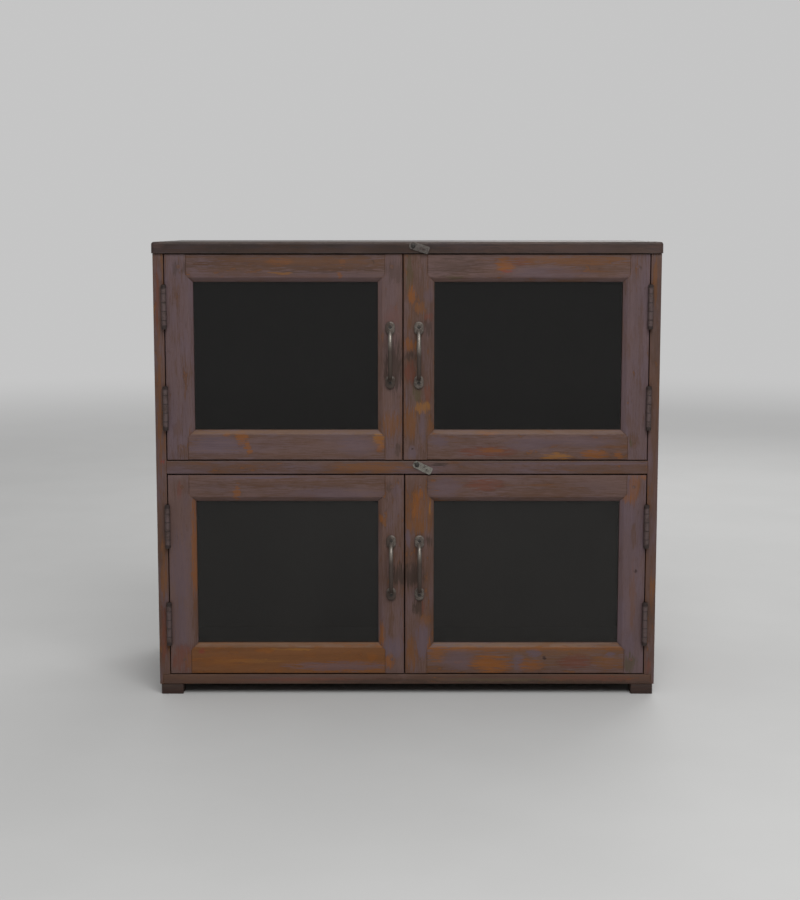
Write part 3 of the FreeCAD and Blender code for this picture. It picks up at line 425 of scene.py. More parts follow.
def paintedWood(name, look):
    s = paintSettings
    grain, depth = look["grain"], s["patchDepth"]
    material, net, shader, place = newMaterial(name, {"Specular IOR Level": s["specular"]})
    seed = Vector(s["seedStep"]) * look["seed"]
    worn = net.use(paintGroup, {
        "Place": place, "Stretch": drawnOut(grain, *grainCells), "Drift": drawnOut(grain, s["drift"], 1),
        "Seed": seed, "Wear": look.get("wear", 0.3), "Tint": look.get("tint", 0.6),
        "Paint": tone(look.get("paint", "warmMauve")), "Lilac": tone("lilac"),
        "Under": tone(look.get("under", "brown")), "Wood": tone(look.get("wood", "amber")),
        "Dark": tone("seam")})
    colour, height, streak = worn["Color"], worn["Height"], worn["Streak"]
    if look.get("patches"):
        drawn = net.vector("MULTIPLY", place, drawnOut(grain, *s["wanderCells"]))
        wander = net.vector("ADD", net.push(drawn, "wander", drawnOut(grain, *s["wander"])),
                            net.push(place, "crumbs", (s["wanderFine"],) * 3))
    for kind, x, z, halfWide, halfHigh, *strength in look.get("patches", []):
        rubbed = kind in s["rubbedKinds"]
        patch = patchAt(net, place, (x * mm, faceY, z * mm), Vector((halfWide, depth, halfHigh)) * mm,
                        wander, streak, s["broken" if rubbed else "brokenStain"], s["ragged"])
        level = strength[0] if strength else s["patch"]
        colour = net.coat(colour, patch["Mask"], level, tone(kind))
        if rubbed:
            colour = net.coat(colour, patch["Rim"], level * s["rim"], tone("seam"))
    # a dark line at each rail's shoulder: painted shade of the joint's narrow groove
    for x, z, halfWide, halfHigh in look.get("joints", []):
        line = patchAt(net, place, (x * mm, faceY, z * mm), Vector((halfWide, depth, halfHigh)) * mm,
                       streak=streak, broken=s["jointBroken"])
        colour = net.coat(colour, line["Mask"], s["jointShade"], tone("crevice"))
    if look.get("stains"):  # broad water and smoke stains, drawn out along the board
        wide = net.vector("MULTIPLY", place, drawnOut(grain, *s["stainCells"]))
        blots = net.shown(net.vector("ADD", wide, seed), "blots")
        colour = net.coat(colour, blots, look["stains"], tone(look["stainTone"]))
    if look.get("scuffs"):
        scuffs = net.mask(scuffGroup, place, {"Facing": look["facing"]})
        colour = net.coat(colour, scuffs, look["scuffs"], tone("topArris"))
    shading = s["fibreShade"][grain]
    shade = net.grey(net.ramp(worn["Fibre"], *s["fibres"], 1 + shading, 1 - shading))
    colour = net.blend(1.0, colour, shade, "MULTIPLY")
    edge = rubbedCorners(net, place, s)
    colour = net.coat(colour, edge, look.get("edge", 0.5), tone(look.get("edgeTone", "amber")))
    # darker in the seams and gaps between pieces: painted shade, with grime
    shadeAndDirt = closedInWithin(net, place, s["shadeAndGrimeReach"])
    colour = net.coat(colour, shadeAndDirt, s["shadeAndGrime"], tone("seam"))
    colour = net.coat(colour, net.mask(dustGroup, place, {}), s["dust"], tone("dustFilm"))
    net.feed(shader, "Base Color", colour)
    net.feed(shader, "Roughness", net.ramp(height, *s["heights"], *s["roughness"]))
    net.bump(shader, height, s["bump"], s["bumpHeight"])
    return material


bareSettings = dict(
    seedStep=(0.9, 2.3, 1.7), knotReach=(2.2, 3, 4), knotPush=-0.75, knotCore=(0.34, 0.22),
    edgeWidth=2 * mm, edgeRaggedness=0.25, shadeAndGrimeReach=10 * mm, bump=0.4, bumpHeight=0.6 * mm,
    fibres=0.3, darkFibres=(0.42, 0.66), pores=0.4, smoke=0.35, core=0.8, inner=0.8, shadeAndDirt=0.7,
    specular=0.3, roughness=(0.3, 0.7, 0.6, 0.78),
)


def bareWood(name, look):
    s = bareSettings
    material, net, shader, place = newMaterial(name, {"Specular IOR Level": s["specular"]})
    grainPlace = place
    core = 0.0
    for x, z, size in look.get("knots", []):  # fibres part round a knot
        away = net.vector("SUBTRACT", place, (x * mm, look["knotY"], z * mm))
        far = net.size(net.vector("DIVIDE", away, Vector(s["knotReach"]) * size * mm))
        push = net.times(net.ramp(far, 1.0, 0.0), s["knotPush"])
        pushed = net.put("VectorMath", {0: away, "Scale": push}, operation="SCALE")
        grainPlace = net.vector("ADD", grainPlace, pushed.outputs["Vector"])
        core = net.most(core, net.ramp(far, *s["knotCore"]))
    wood = net.use(grainGroup, {"Place": grainPlace, "Stretch": drawnOut(look["grain"], *grainCells),
                                "Seed": Vector(s["seedStep"]) * look["seed"]})
    base = net.blend(net.level(wood["Bands"], "wide"), tone(look["dark"]), tone(look["colour"]))
    base = net.coat(base, net.ramp(wood["Fibres"], *s["darkFibres"]), s["fibres"], tone("brown"))
    base = net.coat(base, wood["Pores"], s["pores"], tone("seam"))
    base = net.coat(base, net.shown(place, "smoke"), s["smoke"], tone("ghost"))
    if look.get("knots"):
        base = net.coat(base, core, s["core"], tone("seam"))
    if "insideFrom" in look:  # the hidden side is painted darker: painted shade for the closed inside of the cabinet
        inner = net.ramp(net.part(place, "Y"), look["insideFrom"], look["insideFrom"] - mm)
        base = net.coat(base, inner, s["inner"], tone("seam"))
    rubbed = rubbedCorners(net, place, s)
    base = net.coat(base, rubbed, look.get("edge", 0.3), tone("brown"))
    # darker in closed-in corners: painted shade, with dirt
    shadeAndDirt = closedInWithin(net, place, s["shadeAndGrimeReach"])
    base = net.coat(base, shadeAndDirt, s["shadeAndDirt"], tone("seam"))
    net.feed(shader, "Base Color", base)
    net.feed(shader, "Roughness", net.ramp(wood["Fibres"], *s["roughness"]))
    net.bump(shader, wood["Fibres"], s["bump"], s["bumpHeight"])
    return material


metalSettings = dict(
    fineShare=0.4, rustSpan=0.14, rust=0.85, patina=0.85, shadeAndDirt=0.8, shadeAndDirtReach=3 * mm,
    wander=6 * mm, knuckleJoint=0.9 * mm, nearFrom=11 * mm, nearTo=5 * mm,
    edgeWidth=0.6 * mm, edgeRaggedness=0.2, bumpHeight=0.15 * mm, specular=0.3,
    rustHides=0.9, shadeAndDirtHides=0.8, patinaHides=0.92,
)


def agedMetal(name, look):
    s = metalSettings
    material, net, shader, place = newMaterial(name, {"Specular IOR Level": s["specular"]})
    cloud = net.noise(place, "metalCloud", look["cloudScale"])
    fine = net.noise(place, "metalFine", look["cloudScale"])
    rust = net.ramp(net.share(cloud, 1 - s["fineShare"], fine), look["rustStart"],
                    look["rustStart"] + s["rustSpan"])
    base = net.blend(net.level(fine, "wide"), look["metal"], look["dull"])
    base = net.coat(base, rust, s["rust"], look["rust"])
    wander = net.push(place, "handledEdge", (s["wander"],) * 3)
    patinaAndShade = 0.0
    for x, out, z, *reach in look.get("patinaAndShadeSpots", []):
        grip = patchAt(net, place, (x * mm, faceY - out * mm, z * mm), Vector(reach) * mm, wander)
        patinaAndShade = net.most(patinaAndShade, grip["Mask"])
    for z in look.get("knuckles", []):  # painted shade in the gaps between knuckles, with dirt, on both sides of the cabinet
        jointShade = patchAt(net, place, (0, faceY, z * mm), (1, 1, s["knuckleJoint"]))
        patinaAndShade = net.most(patinaAndShade, jointShade["Mask"])
    if "nearWood" in look:  # what lies against the wood is never rubbed bright
        low = net.ramp(net.part(place, "Y"), faceY - s["nearFrom"], faceY - s["nearTo"],
                       0.0, look["nearWood"])
        patinaAndShade = net.most(patinaAndShade, net.times(low, net.shown(place, "woodContact")))
    # the patina colour is painted shade as well as patina on the bows' lower parts, the pads' left halves
    # and the gaps between hinge knuckles
    if look.get("patinaAndShadeSpots"):
        base = net.coat(base, patinaAndShade, s["patina"], look["patina"])
    # darker in closed-in corners and seams of the metal: painted shade, with dirt
    shadeAndDirt = closedInWithin(net, place, look.get("shadeAndDirtReach", s["shadeAndDirtReach"]))
    base = net.coat(base, shadeAndDirt, s["shadeAndDirt"], look["shadeAndDirt"])
    edge = rubbedCorners(net, place, s)
    net.feed(shader, "Base Color", net.coat(base, edge, look["edge"], look["bright"]))
    covered = net.most(net.times(rust, s["rustHides"]), net.times(shadeAndDirt, s["shadeAndDirtHides"]))
    covered = net.most(covered, net.times(patinaAndShade, s["patinaHides"]))
    net.feed(shader, "Metallic", net.times(net.rest(covered), look["metallic"]))
    rough = net.ramp(fine, *levels["wide"], *look["roughness"])
    net.feed(shader, "Roughness", net.most(rough, net.times(patinaAndShade, look["heldRough"])))
    net.bump(shader, fine, look["bump"], s["bumpHeight"])
    return material


glassLook = dict(
    shader={"Alpha": 0.6, "Roughness": 0.07, "Specular IOR Level": 0.35, "IOR": 1.5},
    bump=0.15, bumpHeight=0.3 * mm,
    paneShade=(0.005, 0.005, 0.005, 1), film=(0.04, 0.037, 0.033, 1), wipedCells=(9, 9, 4),
    edgeDust=(0.09, 0.08, 0.07, 1), edge=0.35, edgeReach=7 * mm,
    lowerFrom=0.44, lowerTo=0.38, lowerFilm=0.36, upperFilm=0.08,
)


def windowGlass(name):
    # old sheet glass, near black and partly opaque, a painted shade for the dim inside behind it, under a
    # thin pale film that is heavier on the lower panes, with dust at the edges
    s = glassLook
    material, net, shader, place = newMaterial(name, s["shader"])
    film = net.ramp(net.part(place, "Z"), s["lowerFrom"], s["lowerTo"], s["upperFilm"], s["lowerFilm"])
    wiped = net.shown(net.vector("MULTIPLY", place, s["wipedCells"]), "wipedGlass")
    film = net.times(film, wiped)
    # the bare pane is near black and partly opaque: painted shade for the dim inside behind it
    base = net.blend(film, s["paneShade"], s["film"])
    corners = closedInWithin(net, place, s["edgeReach"])
    net.feed(shader, "Base Color", net.coat(base, corners, s["edge"], s["edgeDust"]))
    net.bump(shader, net.noise(place, "oldGlass"), s["bump"], s["bumpHeight"])
    return material


# the pieces' looks; patches are (colour, x, z, half width, half height, strength) in
# millimetres, on the front of the piece
frameLooks = {
    "upper_left_hinge_stile": dict(wear=0.1, tint=0.5, paint="mauve", patches=[
        ("ghost", -412, 779, 6, 10, 0.5), ("ghost", -396, 778, 4, 7, 0.5), ("brown", -398, 449, 14, 12),
        ("amber", -389, 460, 4, 24, 0.7), ("brown", -413, 487, 6, 12, 0.5)]),
    "upper_left_top_rail": dict(wear=0.35, patches=[
        ("mauve", -200, 763, 190, 8, 0.6), ("ghost", -182, 788, 170, 14, 0.45),
        ("brown", -182, 790, 155, 13, 0.95), ("amber", -190, 790, 120, 7, 0.25),
        ("orange", -229, 789, 17, 6, 0.4), ("honey", -227, 769, 18, 1.4, 0.8),
        ("orange", -120, 765, 4, 5, 0.75), ("orange", -116, 789, 5, 5, 0.35),
        ("brown", -57, 788, 10, 11, 0.7), ("grease", -60, 790, 2, 5, 0.5),
        ("brown", -300, 776, 60, 12, 0.4)]),
    "upper_left_lock_stile": dict(tint=0.4, patches=[
        ("russet", -26, 691, 13, 15, 0.6), ("grease", -23, 604, 15, 38, 0.75),
        ("amber", -28, 497, 15, 19, 0.75), ("ghost", -17, 452, 5, 9, 0.6), ("mauve", -32, 735, 24, 70, 0.5),
        ("ghost", -20, 770, 16, 16, 0.4)]),
    "upper_left_bottom_rail": dict(wear=0.25, tint=0.3, patches=[
        ("lilac", -346, 459, 40, 15, 0.8), ("orange", -297, 474, 9, 10), ("orange", -286, 455, 5, 12),
        ("orange", -323, 480, 4, 3, 0.7), ("brown", -215, 441, 165, 5, 0.6),
        ("honey", -51, 471, 9, 10, 0.8), ("orange", -48, 462, 7, 12, 0.6),
        # the cream strip along the bevel under the glass is a painted highlight where the bevel faces up to
        # the light
        ("lilac", -90, 460, 28, 14, 0.55), ("cream", -217, 484.5, 172, 3.6, 0.7)]),
    "upper_right_lock_stile": dict(wear=0.5, tint=0.4, patches=[
        ("ghost", 22, 620, 26, 190, 0.18), ("olive", 3, 767, 5, 29, 0.6), ("orange", 8, 730, 6, 13),
        ("amber", 23, 707, 9, 9), ("lilac", 39, 730, 7, 10, 0.5), ("russet", 38, 691, 6, 7),
        ("ghost", 37, 673, 5, 12, 0.7), ("orange", 6, 640, 10, 10), ("grease", 6, 621, 10, 6, 0.7),
        ("russet", 6, 592, 8, 16, 0.9), ("olive", 18, 552, 8, 11, 0.8), ("russet", 37, 554, 5, 14, 0.7),
        ("honey", 28, 529, 12, 9, 0.7), ("lilac", 28, 493, 5, 23, 0.6), ("amber", 6, 501, 10, 23, 0.8),
        # the small seam-coloured dot is painted shade for an old screw hole
        ("amber", 41, 495, 4, 12, 0.8), ("lilac", 9, 446, 7, 10, 0.7), ("seam", 10, 450, 1.6, 1.6, 1.0)]),
    "upper_right_top_rail": dict(tint=0.3, patches=[
        ("ghost", 88, 780, 40, 14, 0.4), ("olive", 83, 761, 11, 3, 0.6), ("orange", 173, 783, 14, 12, 0.8),
        ("russet", 203, 790, 17, 6, 0.8), ("redSpot", 176, 773, 10, 2.5, 0.6),
        ("amber", 290, 792, 95, 7, 0.7), ("lilac", 250, 768, 60, 9, 0.5)]),
    "upper_right_hinge_stile": dict(wear=0.1, tint=0.5, paint="mauve", patches=[
        ("grease", 413, 781, 3, 3, 0.7), ("brown", 408, 469, 8, 11, 0.7), ("olive", 403, 464, 3, 4, 0.8),
        ("brown", 418, 640, 4, 60, 0.4)]),
    "upper_right_bottom_rail": dict(wear=0.35, tint=0.3, patches=[
        ("lilac", 58, 469, 15, 8, 0.7), ("russet", 143, 449, 41, 8, 0.8), ("orange", 150, 451, 18, 4, 0.6),
        ("orange", 148, 482, 18, 3, 0.8), ("honey", 271, 440, 23, 5, 0.8), ("orange", 338, 444, 20, 7),
        ("orange", 382, 442, 6, 6, 0.8), ("lilac", 225, 462, 40, 10, 0.6), ("lilac", 320, 467, 45, 8, 0.5),
        # the cream strip along the bevel under the glass is a painted highlight where the bevel faces up to
        # the light
        ("cream", 217, 484.5, 176, 3.6, 0.6)]),
    "lower_left_hinge_stile": dict(wear=0.0, tint=0.4, patches=[
        ("redSpot", -411, 378, 4, 11, 0.3), ("brown", -400, 385, 16, 14, 0.4),
        ("lilac", -412, 235, 14, 60, 0.5), ("lilac", -412, 125, 13, 34, 0.5),
        ("orange", -386, 258, 5, 84, 0.75), ("brown", -386, 140, 5, 40, 0.7),
        ("russet", -406, 66, 22, 20, 0.75), ("amber", -396, 62, 8, 14, 0.7)]),
    "lower_left_top_rail": dict(tint=0.3, patches=[
        ("lilac", -263, 402, 68, 2, 0.8), ("brown", -190, 391, 140, 7, 0.7),
        ("orange", -308, 374, 5, 13, 0.7), ("lilac", -130, 372, 60, 9, 0.5)]),
    "lower_left_lock_stile": dict(tint=0.4, patches=[
        ("orange", -47, 329, 3, 6), ("orange", -46, 107, 4, 24), ("brown", -29, 130, 4, 30, 0.8),
        ("lilac", -25, 86, 15, 17, 0.8), ("orange", -32, 61, 8, 11), ("ghost", -31, 384, 5, 6, 0.4),
        ("lilac", -20, 378, 7, 9, 0.5), ("brown", -14, 222, 22, 24, 0.5), ("grease", -8, 222, 20, 16, 0.8),
        ("brown", -26, 290, 12, 18, 0.4)]),
    "lower_left_bottom_rail": dict(wear=0.75, tint=0.1, paint="amber", under="amber", wood="orange",
        patches=[
        ("amber", -215, 72, 200, 30, 0.9), ("lilac", -125, 52, 75, 8, 0.6),
        ("honey", -300, 62, 60, 3, 0.45), ("redSpot", -376, 81, 5, 4, 0.7),
        ("orange", -262, 82, 14, 4, 0.8), ("orange", -64, 70, 8, 6, 0.8), ("honey", -208, 84, 33, 2, 0.7),
        # the cream strip along the bevel under the glass is a painted highlight where the bevel faces up to
        # the light
        ("orange", -330, 62, 40, 10, 0.5), ("cream", -217, 92, 172, 3.6, 0.8)]),
    "lower_right_lock_stile": dict(wear=0.5, tint=0.4, patches=[
        ("amber", 25, 340, 19, 34, 0.7), ("orange", 17, 345, 6, 25), ("orange", 22, 370, 7, 9, 0.8),
        ("amber", 19, 313, 22, 11), ("honey", 42, 346, 3, 9, 0.7), ("lilac", 2, 290, 4, 12, 0.8),
        ("ghost", 39, 286, 6, 8, 0.8), ("brown", 12, 224, 22, 24, 0.5), ("grease", 8, 222, 20, 16, 0.8),
        ("ghost", 22, 162, 9, 13, 0.9), ("russet", 30, 164, 3, 10, 0.8), ("amber", 33, 137, 9, 12),
        ("lilac", 28, 102, 13, 28, 0.8), ("amber", 8, 75, 9, 28), ("orange", 41, 84, 3, 19, 0.8)]),
    "lower_right_top_rail": dict(tint=0.3, patches=[
        ("lilac", 70, 382, 24, 16, 0.6), ("russet", 138, 389, 26, 9, 0.8),
        ("brown", 260, 372, 90, 9, 0.5)]),
    "lower_right_hinge_stile": dict(wear=0.05, paint="mauve", patches=[
        ("orange", 427, 402, 6, 4, 0.7), ("orange", 410, 381, 8, 23, 0.5), ("orange", 400, 364, 8, 7, 0.5),
        ("brown", 411, 295, 4, 18, 0.6), ("amber", 411, 181, 5, 52, 0.35), ("seam", 416, 230, 3, 3, 0.8),
        ("olive", 408, 57, 9, 15, 0.7)]),
    "lower_right_bottom_rail": dict(wear=0.5, tint=0.3, patches=[
        ("orange", 55, 75, 14, 13), ("honey", 88, 86, 15, 3, 0.8), ("amber", 300, 84, 90, 9, 0.5),
        ("orange", 120, 84, 80, 6, 0.5), ("cream", 217, 74, 190, 20, 0.35), ("lilac", 97, 63, 27, 15, 0.6),
        ("orange", 154, 58, 30, 15, 0.95), ("lilac", 204, 59, 9, 14, 0.8), ("lilac", 233, 78, 10, 6, 0.8),
        ("orange", 226, 55, 20, 9), ("seam", 253, 69, 3, 3, 0.9), ("orange", 217, 86, 176, 3.8, 0.6),
        ("russet", 310, 61, 24, 10), ("amber", 367, 59, 24, 12), ("lilac", 371, 74, 6, 4, 0.8),
        # the cream strip along the bevel under the glass is a painted highlight where the bevel faces up to
        # the light
        ("cream", 217, 92.5, 176, 3.2, 0.7)]),
}

# the case's boards, the same way
sideLook = dict(grain="z", paint="greyMauve", facing=(1, 0, 0), stains=0.3, stainTone="ghost", scuffs=0.35)
caseLooks = {
    "left_side": dict(sideLook, wear=0.45, patches=[
        ("amber", -444, 560, 2.5, 130, 0.6), ("russet", -446, 720, 2.5, 50, 0.7),
        ("amber", -443, 225, 5, 50), ("russet", -443, 120, 5, 46), ("redSpot", -441, 432, 3, 3)]),
    "right_side": dict(sideLook, wear=0.4, patches=[
        ("amber", 442, 755, 3, 34), ("amber", 447, 190, 3.5, 34), ("russet", 442, 55, 4, 12),
        ("brown", 446, 500, 3, 90, 0.6)]),
    "middle_shelf": dict(grain="x", paint="greyMauve", patches=[
        ("amber", -68, 420, 56, 9), ("grease", 57, 425, 13, 3.5, 0.8), ("lilac", 290, 427, 130, 2, 0.7),
        # the pale line along the shelf's top front arris is a painted highlight
        ("topArris", 0, 431.2, 434, 1.0, 0.5)]),
    "bottom_board": dict(grain="x", wear=0.35, tint=0.1, paint="basePaint", patches=[
        ("russet", -180, 28, 120, 3, 0.5), ("olive", 200, 26, 120, 3, 0.5),
        ("greyMauve", -8, 28, 3, 8, 0.6), ("greyMauve", -150, 33, 130, 3, 0.6),
        ("grease", -60, 24, 90, 4, 0.5), ("russet", 330, 30, 70, 5, 0.5), ("brown", -360, 29, 60, 6, 0.6),
        ("grease", 250, 22, 190, 2.5, 0.6)]),
    "top_board": dict(grain="x", wear=0.15, tint=0.15, paint="topPaint", under="topBrown", wood="topBrown",
        edgeTone="topArris", edge=0.6, facing=(0, 0, 1), scuffs=0.6, stains=0.55, stainTone="topStain",
        patches=[
        # the pale line along the top front arris is a painted highlight
        ("topArris", 0, 823.6, 450, 1.6, 0.5), ("greyMauve", 300, 812, 170, 9, 0.35),
        ("topBrown", -150, 809, 220, 4, 0.5), ("greyMauve", -443, 818, 12, 5, 0.4)]),
}

for firstSeed, looks in ((1, frameLooks), (21, caseLooks)):
    for seed, look in enumerate(looks.values(), firstSeed):
        look["seed"] = seed
for node, look in frameLooks.items():
    look["grain"] = "x" if node.endswith("rail") else "z"


# modelling

def inMode(mode):
    bpy.ops.object.mode_set(mode=mode)


def deselectAll():
    bpy.ops.object.select_all(action="DESELECT")


def workOn(piece, mode="OBJECT"):
    if bpy.context.mode != "OBJECT":
        inMode("OBJECT")
    deselectAll()
    piece.select_set(True)
    bpy.context.view_layer.objects.active = piece
    inMode(mode)


def settle():  # the active piece's place goes into its mesh
    bpy.ops.object.transform_apply(location=True, rotation=True, scale=True)


def newObject(name, data):
    thing = bpy.data.objects.new(name, data)
    bpy.context.scene.collection.objects.link(thing)
    return thing


def pickNone(piece, kind):
    workOn(piece, "EDIT")
    bpy.ops.mesh.select_mode(type=kind)
    bpy.ops.mesh.select_all(action="DESELECT")
    inMode("OBJECT")


def edgeEnds(piece):
    points = piece.data.vertices
    for edge in piece.data.edges:
        start, end = (points[i].co for i in edge.vertices)
        yield edge, start, end


def applyModifiers(piece):
    workOn(piece)
    for modifier in list(piece.modifiers):
        bpy.ops.object.modifier_apply(modifier=modifier.name)


def finishPiece(piece, replaced, material, smoothAngle=32):
    body, slot = nodes[replaced]["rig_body"], slotOf[replaced]
    workOn(piece)
    settle()
    bpy.ops.object.shade_smooth_by_angle(angle=math.radians(smoothAngle))
    piece.data.materials.clear()
    piece.data.materials.append(material)
    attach(piece, body)
    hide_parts(replaced)


unevenSurface = bpy.data.textures.new("unevenSurface", "CLOUDS")
unevenSurface.noise_scale = 0.035
unevenSurface.noise_depth = 2


def makeUneven(piece, depth):
    uneven = piece.modifiers.new("uneven", "DISPLACE")
    uneven.texture = unevenSurface
    uneven.strength = depth
    uneven.mid_level = 1.0  # only ever inwards
    applyModifiers(piece)


def cutAcross(low, high, axis, every):
    # straight cuts square to one axis, so that a long face has points to move
    normal = Vector((0, 0, 0))
    normal[axis] = 1
    steps = max(1, round((high[axis] - low[axis]) / every))
    for step in range(1, steps):
        spot = low.copy()
        spot[axis] += (high[axis] - low[axis]) * step / steps
        bpy.ops.mesh.select_all(action="SELECT")
        bpy.ops.mesh.bisect(plane_co=spot, plane_no=normal)


wornEdge = dict(  # how far each kind of piece is rubbed round, and how it is found and cut
    board=0.4 * mm, frame=0.25 * mm, bead=0.5 * mm, block=0.9 * mm, leaf=0.45 * mm,
    button=0.3 * mm, shortest=5 * mm, shortestOnButton=1 * mm,
    merge=0.001 * mm, flat=0.5, sharp=30, cutEvery=14 * mm, sink=0.3 * mm,
)


def wornCopy(node, kind, cutAxes=(), sink=wornEdge["sink"], shortest=wornEdge["shortest"], segments=2):
    # the node's own shape with its long edges rubbed round and its faces slightly uneven
    piece = newObject(node + "_worn", nodes[node].data.copy())
    workOn(piece)
    bpy.ops.mesh.customdata_custom_splitnormals_clear()
    workOn(piece, "EDIT")
    bpy.ops.mesh.select_mode(type="EDGE")
    bpy.ops.mesh.select_all(action="SELECT")
    bpy.ops.mesh.remove_doubles(threshold=wornEdge["merge"])
    bpy.ops.mesh.dissolve_limited(angle_limit=math.radians(wornEdge["flat"]))
    bpy.ops.mesh.select_all(action="DESELECT")
    bpy.ops.mesh.edges_select_sharp(sharpness=math.radians(wornEdge["sharp"]))
    inMode("OBJECT")
    for edge, start, end in edgeEnds(piece):
        if edge.select and (end - start).length < shortest:
            edge.select = False
    inMode("EDIT")
    bpy.ops.mesh.bevel(offset=wornEdge[kind], segments=segments, affect="EDGES", clamp_overlap=True)
    for axis in cutAxes:
        cutAcross(*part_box(node), axis, wornEdge["cutEvery"])
    inMode("OBJECT")
    if sink:
        makeUneven(piece, sink)
    return piece


shoulder = 12.5 * mm  # how far the rails' square shoulders are let into the stiles
jointLine = 1.1  # half the width of the painted shade line there, in millimetres
for door in doors:
    stiles = [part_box(f"{door}_{stile}_stile") for stile in ("hinge", "lock")]
    left, right = sorted(stiles, key=lambda box: box[0].x)
    for rail in ("top", "bottom"):
        low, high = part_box(f"{door}_{rail}_rail")
        lowest, highest = (low.z + shoulder, high.z) if rail == "top" else (low.z, high.z - shoulder)
        middle, half = (lowest + highest) / 2 / mm, (highest - lowest) / 2 / mm
        ends = (left[1].x - shoulder, right[0].x + shoulder)
        frameLooks[f"{door}_{rail}_rail"]["joints"] = [(end / mm, middle, jointLine, half) for end in ends]

for kind, looks, across in (("frame", frameLooks, {"x": (0, 2), "z": (2, 0)}),
                            ("board", caseLooks, {"x": (0, 1), "z": (2, 1)})):
    for node, look in looks.items():
        piece = wornCopy(node, kind, across[look["grain"]])
        finishPiece(piece, node, paintedWood(node + "_paint", look))
print("boards and frames worn")

beadWood = paintedWood("bead_paint", dict(grain="x", seed=31, wear=0.2, paint="greyMauve"))
for door in doors:
    node = door + "_glazing_beads"
    finishPiece(wornCopy(node, "bead", (0, 2)), node, beadWood)

insideWood = bareWood("inside_wood", dict(grain="z", seed=41, colour="insideWood", dark="ghost"))
footWood = bareWood("foot_wood", dict(grain="x", seed=43, colour="footWood", dark="seam", edge=0.5))
finishPiece(wornCopy("door_stops", "block", (0, 2)), "door_stops", insideWood)
for corner in ("front_left", "front_right", "rear_left", "rear_right"):
    finishPiece(wornCopy("foot_" + corner, "block"), "foot_" + corner, footWood)

plankSizes = dict(
    joints=(-443 * mm, -201 * mm, 0, 201 * mm, 443 * mm), arris=1.8 * mm, cutEvery=24 * mm,
    cup=0.3 * mm, hiddenFrom=5 * mm,
    looks=(
        dict(colour="backWood", dark="backWoodDark", seed=44, knots=[(-390, 640, 11), (-268, 205, 8)]),
        dict(colour="backWoodGrey", dark="backWoodDark", seed=45, knots=[(-60, 540, 9)]),
        dict(colour="backWood", dark="backWoodDark", seed=46, knots=[(128, 310, 12), (48, 700, 7)]),
        dict(colour="backWood", dark="backWoodGrey", seed=48, knots=[(330, 470, 8)]),
    ),
)


def backPlank(low, high, s):
    # one upright plank: its long edges eased to a groove at each joint, its faces planed by hand
    deselectAll()
    bpy.ops.mesh.primitive_cube_add(size=1, location=(low + high) / 2)
    plank = bpy.context.object
    plank.scale = high - low
    settle()
    pickNone(plank, "EDGE")
    for edge, start, end in edgeEnds(plank):
        upright = abs(start.z - end.z) > (high.z - low.z) / 2
        edge.select = upright and start.y > (low.y + high.y) / 2  # inside, the joints are tight
    inMode("EDIT")
    bpy.ops.mesh.bevel(offset=s["arris"], segments=2, affect="EDGES")
    for axis in (0, 2):
        cutAcross(low, high, axis, s["cutEvery"])
    inMode("OBJECT")
    makeUneven(plank, s["cup"])
    return plank


low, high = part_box("back_planks")
joints = plankSizes["joints"]
for number, look in enumerate(plankSizes["looks"]):
    left, right = joints[number], joints[number + 1]
    plank = backPlank(Vector((left, low.y, low.z)), Vector((right, high.y, high.z)), plankSizes)
    look.update(grain="z", knotY=high.y, insideFrom=high.y - plankSizes["hiddenFrom"])
    plank.name = f"back_plank_{number}"
    finishPiece(plank, "back_planks", bareWood(f"back_wood_{number}", look))
print("inside and feet worn")


# hinges and buttons; the places are (x, how far before the faces, z, reach along x, y, z), in millimetres
ironLook = dict(
    cloudScale=130, rustStart=0.56, metal=(0.3, 0.268, 0.235, 1), dull=(0.13, 0.115, 0.1, 1),
    rust=tone("ghost"), shadeAndDirt=(0.015, 0.012, 0.01, 1), bright=(0.42, 0.39, 0.35, 1),
    edge=0.3, metallic=0.75, roughness=(0.32, 0.55), bump=0.25, nearWood=0.85, heldRough=0.8,
    patina=(0.032, 0.017, 0.012, 1), patinaAndShadeSpots=[
        # the first four darken the lower part of each bow: patina, and painted shade where the bow turns
        # down away from the light; the next two darken the lower pads of the left doors; the last two are
        # painted shade on the left half of those doors' upper pads, away from the light
        (-30.35, 25, 603, 12, 20, 42), (20.95, 25, 600, 12, 20, 34), (-28.85, 25, 218, 12, 20, 44),
        (22.45, 25, 220, 12, 20, 42), (-30.35, 2, 571.5, 14, 6, 15), (-28.85, 2, 184.5, 14, 6, 14),
        (-36, 2, 674, 7, 6, 14), (-34, 2, 286, 8, 6, 15)],
)
hingeLong = 79
hingeLook = dict(
    cloudScale=70, rustStart=0.47, metal=(0.1, 0.075, 0.07, 1), dull=tone("mauve"),
    rust=tone("ghost"), shadeAndDirt=(0.012, 0.008, 0.007, 1), bright=(0.18, 0.14, 0.125, 1),
    edge=0.35, metallic=0.25, roughness=(0.42, 0.65), bump=0.5, heldRough=0.7, nearWood=0.9,
    patina=(0.016, 0.01, 0.008, 1), shadeAndDirtReach=5 * mm,
    patinaAndShadeSpots=[(x, 5, z, 9, 9, 6) for x in (-433, 433) for z in (747, 671, 565, 490, 350, 275, 170, 95)],
    knuckles=[foot + hingeLong * share for foot in (93, 273, 488, 669.5) for share in (0.2, 0.4, 0.6, 0.8)],
)
